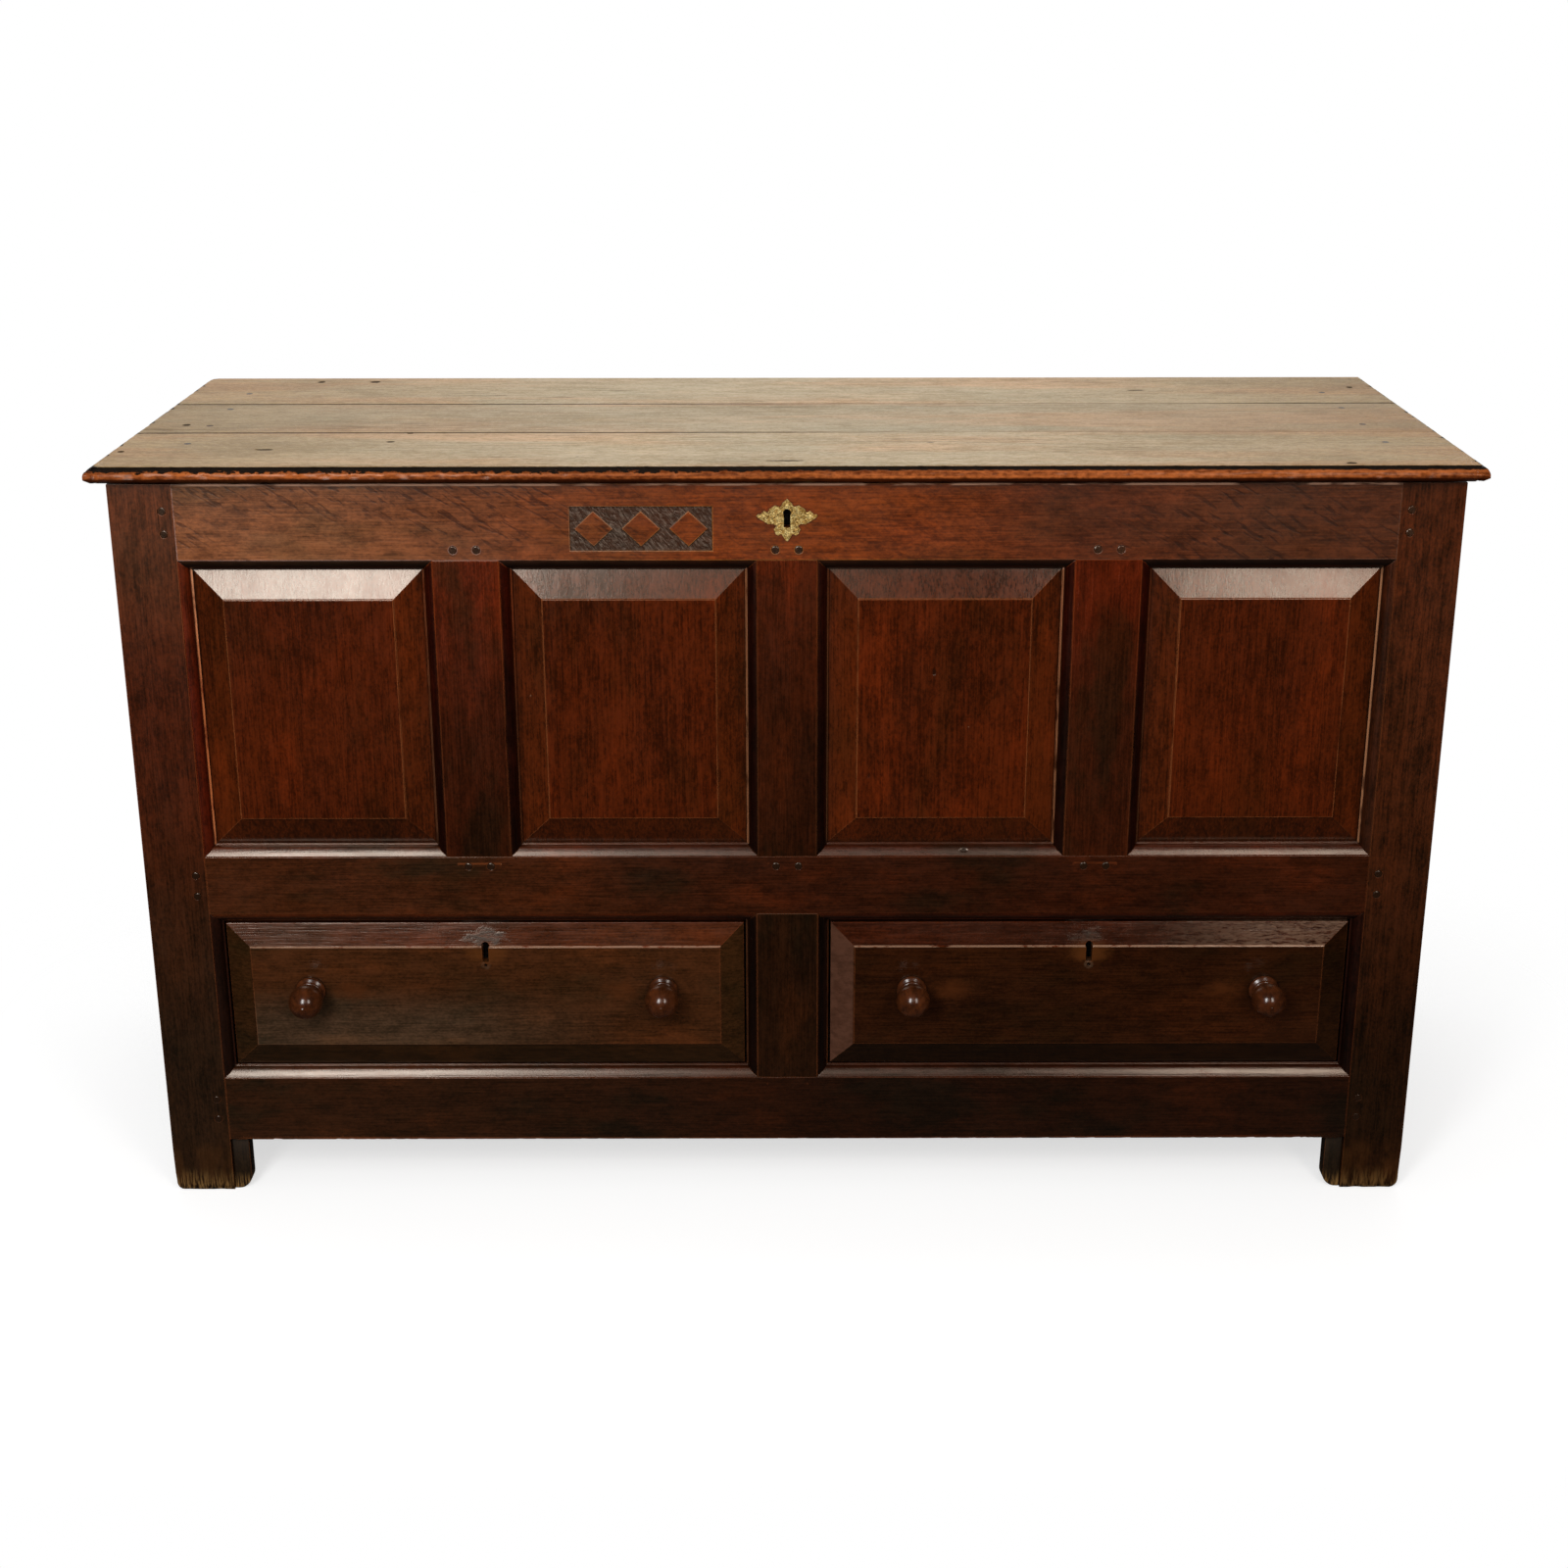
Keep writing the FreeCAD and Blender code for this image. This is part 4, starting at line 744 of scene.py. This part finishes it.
block_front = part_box("foot_blocks")[0][1]
block_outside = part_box("foot_blocks")[1][0]
block_width = 0.021
block_reach = 0.022
block_slope = 0.55
cuts = [(anywhere, "Z", foot_height - 0.0005, foot_height, 0.0005),
        (is_foot, "Z", 0.0015, 0.0195, 0.003)]
worn("foot_blocks", "carcass",
     oak("foot_blocks", "Z", (0.01, 0.0045, 0.0018), (0.034, 0.014, 0.005), wax=0.55, shine=0.2,
         foot=0.025, mossy=0.3),
     cuts, block_shape, arris=0.002)


# ----------
# The lid: three boards with a moulded edge at the front and the ends, faded on top by light
# and rubbed by use, red brown on the moulding.

lid_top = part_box("lid_front_board")[1][2]
lid_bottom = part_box("lid_front_board")[0][2]
seams = [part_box(node)[0][1] for node in ("lid_middle_board", "lid_back_board")]
# Each split's x, y, half its length and half its width.
splits = [(0.0, -0.245, 0.022, 0.003), (-0.61, 0.27, 0.005, 0.006), (-0.54, 0.27, 0.007, 0.007),
          (-0.44, -0.083, 0.004, 0.005), (-0.59, -0.18, 0.011, 0.004), (-0.75, -0.19, 0.004, 0.005),
          (-0.455, -0.135, 0.005, 0.004), (-0.715, -0.03, 0.005, 0.006),
          (0.62, -0.262, 0.006, 0.005), (0.45, 0.2, 0.012, 0.003), (0.73, 0.22, 0.004, 0.006)]
gap_tone = (0.02, 0.011, 0.006)


def lid_marks(colour, place):
    """The red brown edge with its chipped black quirk, its cove and lowest strip painted dark as
    shade, and the dry underside. On top the browner ends, shakes, worm holes, splits and seams."""
    across, depth, height = place.apart()
    chips = cloud(place, "X", 120.0, 220.0, 0.4, 3.0, 0.6)
    streaks = cloud(place, "X", 3.0, 150.0, 0.9, 4.0, 0.7)
    edge = place.paint((0.09, 0.017, 0.0035)).mix(
        (0.52, 0.14, 0.033), (streaks * 0.6 + chips * 0.5).step(0.35, 0.75))
    whole = across.step(-0.2, 0.15)
    ragged = (chips - 0.5) * 0.011 * (1 - whole * 0.72) - whole * 0.0013
    quirk = (height + ragged).past(lid_top - 0.0055, 0.0007)
    edge = edge.mix((0.009, 0.005, 0.003), quirk)
    wavy = height + (chips - 0.5) * 0.002
    # Painted shade: the cove and the lowest strip of the edge, which face down, are painted dark.
    cove_shade = 1 - wavy.past(lid_bottom + 0.01, 0.0015)
    edge = edge.mix((0.032, 0.005, 0.0012), cove_shade * 0.9)
    shadow = 1 - wavy.past(lid_bottom + 0.0055, 0.001)
    edge = edge.mix((0.005, 0.0025, 0.0012), shadow * 0.9)
    upper = height.past(lid_top - 0.00075, 0.00035)
    colour = colour.mix(edge, 1 - upper)
    inside = place.paint((0.09, 0.055, 0.03)).mix((0.24, 0.155, 0.09), streaks.step(0.3, 0.7))
    lowest = 1 - height.past(lid_bottom + 0.0004)
    under = (0 - place.facing().along("Z")).step(0.9, 0.97) * depth.past(front_y + 0.001, 0.001)
    under = under * (1 - place.from_x().step(0.748, 0.75))
    colour = colour.mix(inside, lowest.most(under))
    spread = place.from_x().step(0.2, 0.8) * upper
    colour = colour.glaze((0.76, 0.67, 0.53), spread)
    blush = cloud(place, "X", 1.7, 11.0, 0.45, 4.0, 0.6).step(0.44, 0.62)
    colour = colour.glaze((1.08, 0.95, 0.93), blush * upper)
    colour = colour.glaze((0.97, 1.0, 1.06), (1 - blush) * upper)
    shakes = cloud(place, "X", 2.2, 120.0, 0.7, 2.0, 0.5).within(0.492, 0.508, 0.006)
    some = cloud(place, "X", 3.0, 9.0, 0.25, 2.0, 0.5).step(0.5, 0.62)
    colour = colour.glaze((0.5, 0.45, 0.4), shakes * some * upper)
    holes = specks(stretched(place, "X", 0.6, 1.0, 0.0), 0.045, 0.16, 0.045) * upper
    colour = colour.mix((0.02, 0.01, 0.005), holes * 0.85)
    gaps = shakes * some * upper * 0.25
    for x, y, length, width in splits:
        away = place.vector("SUBTRACT", (x, y, lid_top))
        away = away.vector("MULTIPLY", (1 / length, 1 / width, 0)).vector("LENGTH")
        away = away + (chips - 0.5) * 0.9
        split = (1 - away.step(0.8, 1.1)) * upper
        colour = colour.mix(gap_tone, split * 0.9)
        gaps = gaps + split
    faint = (1 - across.step(-0.15, 0.25) * 0.85,
             1 - across.within(0.0, 0.55, 0.12) * 0.7)
    for seam, share in zip(seams, faint):
        line = (depth + (chips - 0.5) * 0.0016).within(seam - 0.0024, seam + 0.0024, 0.0005)
        colour = colour.mix(gap_tone, line * share * 0.95)
        gaps = gaps + line * share * upper
    return {"colour": colour, "relief": chips * quirk * 0.003 - gaps * 0.0008,
            "dull": gaps * 0.6 + (quirk * 0.45 - 0.25) * (1 - upper)}


def dented_edge(point, normal):
    """Knocks in the lid's moulded edge, and its front lifted a little off the carcass."""
    lift = 0.0
    if point.z < lid_bottom + 0.006:
        lift = front_lift * max(0.0, min(1.0, (-0.1 - point.y) / 0.16))
    reach = min(point.y - front_edge, side_edge - abs(point.x))
    if reach > 0.012:
        return (0, 0, lift)
    knock = max(0.0, rough(point, 0.018, 2) - 0.25) + max(0.0, rough(point, 0.007, 9) - 0.35)
    knock *= knock_depth
    return (-normal.x * knock, -normal.y * knock, lift - normal.z * knock)


def is_moulded(point):
    return point.y < front_edge + 0.0125


front_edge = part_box("lid_front_board")[0][1]
side_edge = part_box("lid_front_board")[1][0]
front_lift = 0.0038
knock_depth = 0.004
lid_dark = (0.36, 0.245, 0.112)
lid_light = (0.59, 0.455, 0.28)
faded = {"lid_front_board": 1.12, "lid_middle_board": 1.0, "lid_back_board": 1.15}
lid_oak = {"wax": 0.46, "shine": 0.15, "contrast": 0.95, "wear": 0.25, "grime": 0.6, "dusk": 0.0,
           "patchy": 0.08, "mossy": 0.12, "marks": lid_marks}
for node, share in faded.items():
    low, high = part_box(node)
    tones = [[part * share for part in tone] for tone in (lid_dark, lid_light)]
    is_front_board = node == "lid_front_board"
    cuts = [(anywhere, "X", x, x + 0.001, 0.001) for x in (0.017 - side_edge, side_edge - 0.018)]
    if is_front_board:
        cuts.append((anywhere, "Y", front_edge + 0.017, front_edge + 0.018, 0.001))
    cuts.append((lambda point: abs(point.x) > side_edge - 0.016, "Y", low[1], high[1], 0.006))
    worn(node, "lid", oak(node, "X", *tones, **lid_oak), cuts,
         dented_edge, arris=0.0004, run=(is_moulded, "X", 0.005) if is_front_board else None)


# ----------
# The two battens across under the lid's ends, which hold its boards flat. Dry oak, nailed
# through from above.

dry_oak("lid_battens", "Y", 0.7, grime=0.15)


# ----------
# Wrought iron: nails, strap hinges, hasp, locks and bolts. Forged by hand, still hammered, and
# dark with old rust.

def iron(name):
    """Hammered iron, dark, with blooms of rust that are rougher and less metallic."""
    material, start, place = fresh(name)
    grain = cloud(place, "X", 160.0, 160.0, seed_of(name), 4.0, 0.65)
    blooms = cloud(place, "X", 45.0, 45.0, seed_of(name) + 0.3, 4.0, 0.7)
    colour = start.paint((0.035, 0.03, 0.028)).mix((0.1, 0.085, 0.075), grain.step(0.35, 0.7))
    rusty = blooms.step(0.5, 0.62) * 0.5
    colour = colour.mix((0.14, 0.05, 0.02), rusty)
    hammered = cloud(place, "X", 110.0, 110.0, 0.0, 1.0, 0.4)
    relief = hammered * 0.0004 + grain * 0.0001
    feed(material, colour, 0.42 + rusty * 0.35 + grain * 0.15, relief, 0.85 - rusty * 0.8)
    return material


for node in ("lid_nails", "hinge_straps", "hinge_leaves", "hinge_pins", "hinge_leaf_nails",
             "lid_hasp", "chest_lock_case", "chest_lock_bolt", "left_drawer_lock",
             "right_drawer_lock", "left_drawer_lock_bolt", "right_drawer_lock_bolt"):
    finish_node(node, iron(node), arris=0)


# ----------
# The keyhole plate: cast brass, chased by hand and pinned to the top rail. The pins are rubbed
# bright, and so are three small rings, which lie at two of the pin holes.

def brass(name, rubbed):
    """Brass: dull and chased where rubbed is 0, bright where it is 1."""
    material, start, place = fresh(name)
    tarnish = cloud(place, "X", 200.0, 200.0, 0.2, 4.0, 0.7)
    beads = place.node("TexVoronoi", {"Vector": place, "Scale": 420.0}).step(0.1, 0.55)
    scrolls = cloud(place, "X", 260.0, 260.0, 0.7, 1.0, 0.5, 2.5)
    cuts = scrolls.within(0.46, 0.52, 0.03)
    corner = corners(start, 0.0018, 0.8)
    dull = 1 - rubbed
    colour = start.paint((1.0, 0.76, 0.3))
    colour = colour.mix((0.5, 0.25, 0.035), tarnish.step(0.35, 0.6) * (0.1 + dull * 0.8))
    colour = colour.mix((0.13, 0.06, 0.01), tarnish.step(0.56, 0.72) * dull * 0.6)
    colour = colour.mix((0.1, 0.05, 0.014), cuts * dull * 0.75)
    colour = colour.mix((0.03, 0.015, 0.006), corner * (0.2 + dull * 0.6))
    relief = (beads * -0.0004 - cuts * 0.0006) * dull + tarnish * 0.0002
    feed(material, colour, 0.24 + tarnish * 0.2 + corner * 0.2, relief, 0.3 - corner * 0.2)
    return material


plate_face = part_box("escutcheon")[0][1]
bright_brass = brass("bright_brass", 0.9)
finish_node("escutcheon_pins", bright_brass, arris=0)
plate = finish_node("escutcheon", brass("chased_brass", 0.0), arris=0)


def boundary_loops(mesh, faces_front):
    """The closed outlines of the faces of a mesh that a test picks, each as a list of points."""
    work = bmesh.new()
    work.from_mesh(mesh)
    bmesh.ops.remove_doubles(work, verts=work.verts, dist=1e-6)
    front = [face for face in work.faces if faces_front(face)]
    picked = set(front)
    nexts = {}
    for face in front:
        for loop in face.loops:
            if sum(other in picked for other in loop.edge.link_faces) == 1:
                nexts[loop.vert] = loop.link_loop_next.vert
    outlines = []
    while nexts:
        start = here = next(iter(nexts))
        outline = []
        while here in nexts:
            outline.append(here.co.copy())
            here = nexts.pop(here)
        outlines.append(outline)
    work.free()
    return sorted(outlines, key=len)


def bead(name, points, centre, shrink, radius):
    """A raised bead along an outline drawn in towards a centre."""
    line = bpy.data.curves.new(name, "CURVE")
    line.dimensions = "3D"
    line.bevel_depth = radius
    line.bevel_resolution = 2
    run = line.splines.new("POLY")
    run.points.add(len(points) - 1)
    run.use_cyclic_u = True
    for spot, point in zip(run.points, points):
        inward = centre + (point - centre) * shrink
        spot.co = (inward.x, plate_face, inward.z, 1)
    line.materials.append(bright_brass)
    piece = placed(name, line)
    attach(piece, "carcass")


low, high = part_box("escutcheon")
# The outlines with the most points are those of the pin holes, so the rings lie there, and not
# along the rim and the keyhole as their names say.
second_hole, first_hole = boundary_loops(plate.data, lambda face: face.normal.y < -0.99)[-2:]
plate_middle = Vector((0, plate_face, low[2] + 0.6 * (high[2] - low[2])))
bead("plate_rim", first_hole, plate_middle, 0.96, 0.0012)
bead("plate_inner_line", first_hole, plate_middle, 0.74, 0.0005)
second_middle = sum(second_hole, Vector()) / len(second_hole)
bead("keyhole_rim", second_hole, second_middle, 1.15, 0.0008)


# ----------
# The drawers: fielded oak fronts, dark from handling, dovetailed to oak sides, with a back and
# a bottom. The linings are dry, pale and dusty.

drawer_tones = {"left": ((0.027, 0.0088, 0.0024), (0.084, 0.0252, 0.0074)),
                "right": ((0.013, 0.0034, 0.0009), (0.044, 0.0112, 0.0026))}
lining_tones = ((0.1, 0.062, 0.034), (0.3, 0.2, 0.115))


def from_point(place, x, z, squeeze):
    """The distance from a point on the front, with heights multiplied by squeeze."""
    away = place.vector("SUBTRACT", (x, 0, z))
    return away.vector("MULTIPLY", (1, 0, squeeze)).vector("LENGTH")


def drawer_marks(side):
    """The wood round a keyhole, broken by keys, the red marks of older handles, a highlight painted
    as a pale line along the field, a top bevel painted paler and redder as light, the left front's
    dust, and on the right front a reflection painted on the top bevel's right end and a paler left
    bevel."""
    knobs_low, knobs_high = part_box(side + "_drawer_knobs")
    knob_z = (knobs_low[2] + knobs_high[2]) / 2
    knob_radius = 0.02
    handles = (knobs_low[0] + knob_radius + 0.048, knobs_high[0] - knob_radius - 0.048)
    front_low, front_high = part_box(side + "_drawer_front")
    key_x = (front_low[0] + front_high[0]) / 2
    key_z = front_high[2] - 0.03
    bevel = 0.028
    field_top = front_high[2] - bevel
    half = (front_high[0] - front_low[0]) / 2 - bevel

    def marks(colour, place):
        across, depth, height = place.apart()
        broken = cloud(place, "X", 70.0, 120.0, seed_of(side), 4.0, 0.65)
        splinters = cloud(place, "X", 90.0, 420.0, seed_of(side), 3.0, 0.7, 0.8)
        upward = place.facing().along("Z").step(0.05, 0.12)
        # Painted light: the top bevel, which faces up, is glazed paler and redder.
        lit_top_bevel = height.step(field_top - 0.002, field_top) * upward
        colour = colour.glaze((2.0, 1.15, 0.8), lit_top_bevel)
        if side == "left":
            dusty = 1 - height.past(knob_z - 0.0175, 0.0275)
            dusty = dusty * (1 - across.step(-0.45, -0.15))
            dusty = dusty * (1 - depth.past(front_y + 0.0027, 0.0003))
            colour = colour.glaze((1.2, 2.0, 3.4), dusty)
        else:
            # Painted reflection: the right end of the top bevel is painted pale.
            painted_reflection = lit_top_bevel * across.step(0.4, 0.6)
            painted_reflection = painted_reflection * splinters.step(0.36, 0.6)
            colour = colour.mix((0.17, 0.095, 0.058), painted_reflection * 0.7)
            leftward = 1 - place.facing().along("X").step(-0.12, -0.05)
            field_left = front_low[0] + bevel
            bevel_left = leftward * (1 - across.step(field_left - 0.002, field_left))
            bevel_left = bevel_left * (0.55 + broken.step(0.3, 0.65) * 0.45)
            colour = colour.mix((0.125, 0.052, 0.031), bevel_left * 0.75)
        for x in handles:
            away = from_point(place, x, knob_z, 1.9) + (broken - 0.5) * 0.05
            colour = colour.mix((0.1, 0.026, 0.006), (1 - away.step(0.0, 0.035)) * 0.5)
        away = from_point(place, key_x, key_z - 0.004, 1.5) + (broken - 0.5) * 0.03
        colour = colour.mix((0.13, 0.04, 0.009), (1 - away.step(0.01, 0.03)) * 0.55)
        away = from_point(place, key_x, key_z + 0.012, 2.2) + (broken - 0.5) * 0.07
        split = 1 - away.step(0.008, 0.028)
        split = split * (0.8 if side == "left" else 0.4)
        colour = colour.mix((0.007, 0.003, 0.0012), split * splinters.step(0.42, 0.5))
        colour = colour.mix((0.1, 0.06, 0.038), split * splinters.step(0.6, 0.7) * 0.3)
        key_end = from_point(place, key_x, key_z - 0.021, 1.0)
        hole = 1 - key_end.step(0.001, 0.0022)
        ring = key_end.within(0.0022, 0.0055, 0.001)
        colour = colour.mix((0.12, 0.07, 0.04), ring * broken.step(0.45, 0.6) * 0.4)
        colour = colour.mix((0.003, 0.0015, 0.001), hole)
        # Painted highlight: a pale line along the top of the field, where its arris catches the
        # light.
        line = height.within(field_top - 0.0009, field_top + 0.0009, 0.0004)
        inside = 1 - place.from_x(key_x).past(half + 0.0005, 0.0005)
        painted_glint = line * inside * (1 - split) * broken.step(0.36, 0.5)
        colour = colour.mix((0.36, 0.22, 0.14), painted_glint * 0.65)
        return {"colour": colour, "relief": split * splinters * 0.00035 - hole * 0.001,
                "dull": split * 0.3}

    return marks


drawer_front_back = front_y + 0.0294
for side in ("left", "right"):
    finish_oak(side + "_drawer_front", "X", *drawer_tones[side], wax=0.19, dusk=0.1, shine=0.7,
               sunk=front_y + 0.0032, sunk_tone=(0.6, 0.7, 0.62), mossy=0.6,
               dry=beyond(drawer_front_back), marks=drawer_marks(side))
    for part, grain in (("_drawer_sides", "Y"), ("_drawer_back", "X"), ("_drawer_bottom", "X")):
        dry_oak(side + part, grain, 0.75, lining_tones)


# ----------
# The knobs, turned in one piece with their spindles from a close-grained hardwood, polished
# dark. The spindles sit in holes in the drawer fronts.

def turned_wood(name):
    """Close-grained wood with a smooth, even polish."""
    material, start, place = fresh(name)
    figure = cloud(place, "Y", 30.0, 160.0, seed_of(name), 4.0, 0.6)
    spread = cloud(place, "X", 60.0, 60.0, seed_of(name), 2.0, 0.5)
    corner = corners(start, 0.008, 0.8)
    colour = start.paint((0.026, 0.007, 0.002))
    colour = colour.mix((0.105, 0.027, 0.007), (figure * 0.6 + spread * 0.4).step(0.3, 0.75))
    # Corners are painted nearly black, partly as grime and partly as painted shade.
    colour = colour.mix((0.005, 0.002, 0.001), corner * 0.85)
    shader = feed(material, colour, 0.16 + spread * 0.06, figure * 0.00003)
    shader.inputs["Specular IOR Level"].default_value = 0.6
    return material


for side in ("left", "right"):
    finish_node(side + "_drawer_knobs", turned_wood(side + "_drawer_knobs"), arris=0)


# ----------
# The studio: a pale floor that keeps the chest's shadow and runs out into a white background,
# soft boxes in front, left, right and above, and a weak one high behind.

floor_reach = 1.6
half_plan = (0.75, 0.28)
floor_mesh = bpy.data.meshes.new("floor")
work = bmesh.new()
bmesh.ops.create_circle(work, cap_ends=True, segments=64, radius=floor_reach)
work.to_mesh(floor_mesh)
work.free()
floor = placed("floor", floor_mesh)

material = bpy.data.materials.new("pale_floor")
material.use_nodes = True
tree = material.node_tree
tree.nodes.clear()
start = Wire(tree)
seen = start.node("LightPath", out="Is Camera Ray")
glossy = start.node("LightPath", out="Is Glossy Ray")
through = start.node("LightPath", out="Is Transmission Ray")
place = start.node("TexCoord", out=3)
out_of_plan = place.vector("ABSOLUTE").vector("SUBTRACT", (*half_plan, 0))
edge = out_of_plan.vector("MAXIMUM", (0, 0, 0)).vector("LENGTH").step(0.05, 0.6)
seen = seen + (glossy + through) * place.along("Y").step(0.3, 0.5)
lit = start.node("BsdfDiffuse", {"Color": rgba((0.6, 0.6, 0.6))})
bright = start.node("Emission", {"Color": rgba((1, 1, 1)), "Strength": 0.62})
seen_floor = start.node("AddShader", {0: lit, 1: bright})
dull_floor = start.node("BsdfDiffuse", {"Color": rgba((0.05, 0.05, 0.05))})
either = start.node("MixShader", {0: seen, 1: dull_floor, 2: seen_floor})
clear = start.node("BsdfTransparent")
whole = start.node("MixShader", {0: edge, 1: either, 2: clear})
output = tree.nodes.new("ShaderNodeOutputMaterial")
tree.links.new(whole.socket, output.inputs["Surface"])
floor_mesh.materials.append(material)

world = bpy.data.worlds.new("studio")
bpy.context.scene.world = world
world.use_nodes = True
tree = world.node_tree
tree.nodes.clear()
start = Wire(tree)
direction = start.node("TexCoord", out=0)
behind = direction.along("Y").step(0.55, 0.85)
seen = start.node("LightPath", out="Is Camera Ray")
glossy = start.node("LightPath", out="Is Glossy Ray")
through = start.node("LightPath", out="Is Transmission Ray")
white = seen.most((glossy + through) * behind)
up = direction.along("Z").step(-0.5, 0.6)
unlit, sky, backdrop = (start.node("Background", {"Color": rgba((1, 1, 1)), "Strength": strength})
                        for strength in (0.008, 0.3, 1.0))
dim = start.node("MixShader", {0: up * (1 - glossy), 1: unlit, 2: sky})
mixed = start.node("MixShader", {0: white, 1: dim, 2: backdrop})
output = tree.nodes.new("ShaderNodeOutputWorld")
tree.links.new(mixed.socket, output.inputs["Surface"])


def soft_box(name, place, target, width, height, power, seen_in_gloss=True, warm=1.0):
    """A lamp of a width and height in metres and a power in watts, aimed at a target."""
    lamp = bpy.data.lights.new(name, "AREA")
    lamp.shape = "RECTANGLE"
    lamp.size = width
    lamp.size_y = height
    lamp.energy = power
    lamp.color = (1.0, warm, warm * warm)
    box = placed(name, lamp)
    box.visible_glossy = seen_in_gloss
    box.location = place
    box.rotation_euler = (Vector(target) - Vector(place)).to_track_quat("-Z", "Y").to_euler()


soft_box("left_box", (-1.12, -3.0, 1.82), (-0.4, -0.2, 0.7), 0.7, 1.45, 46)
soft_box("right_box", (1.26, -3.0, 1.82), (0.4, -0.2, 0.7), 0.6, 1.4, 21, warm=0.92)
soft_box("front_box", (-0.25, -3.05, 1.8), (0, -0.2, 0.6), 1.0, 1.0, 3, warm=0.85)
soft_box("high_box", (0, -2.6, 2.7), (0, -0.2, 0.5), 3.2, 1.2, 24, seen_in_gloss=False)
soft_box("top_box", (0, 0.6, 3.0), (0, 0.1, 0.9), 2.6, 1.2, 16, seen_in_gloss=False)
soft_box("back_box", (0, 2.4, 2.2), (0, 0, 0.9), 3.2, 1.0, 8)


# ----------
# The camera: a 53 mm lens in front of the middle, 2.5 m from the chest and half a metre above
# its lid, looking down by 20 degrees.

lens_mm = 52.69
camera_place = Vector((-0.00773, -2.75191, 1.41426))
pitch_down = math.radians(19.569)
yaw_right = math.radians(0.0927)
roll = math.radians(-0.0625)
lens = bpy.data.cameras.new("camera")
lens.sensor_width = 36.0
lens.lens = lens_mm
camera = placed("camera", lens)
level = Vector((math.cos(yaw_right), -math.sin(yaw_right), 0))
ahead = Vector((math.sin(yaw_right) * math.cos(pitch_down),
                math.cos(yaw_right) * math.cos(pitch_down), -math.sin(pitch_down)))
upright = level.cross(ahead)
to_right = level * math.cos(roll) + upright * math.sin(roll)
to_top = upright * math.cos(roll) - level * math.sin(roll)
camera.matrix_world = Matrix((
    (to_right.x, to_top.x, -ahead.x, camera_place.x),
    (to_right.y, to_top.y, -ahead.y, camera_place.y),
    (to_right.z, to_top.z, -ahead.z, camera_place.z),
    (0, 0, 0, 1)))
bpy.context.scene.camera = camera
bpy.context.scene.view_settings.view_transform = "Standard"
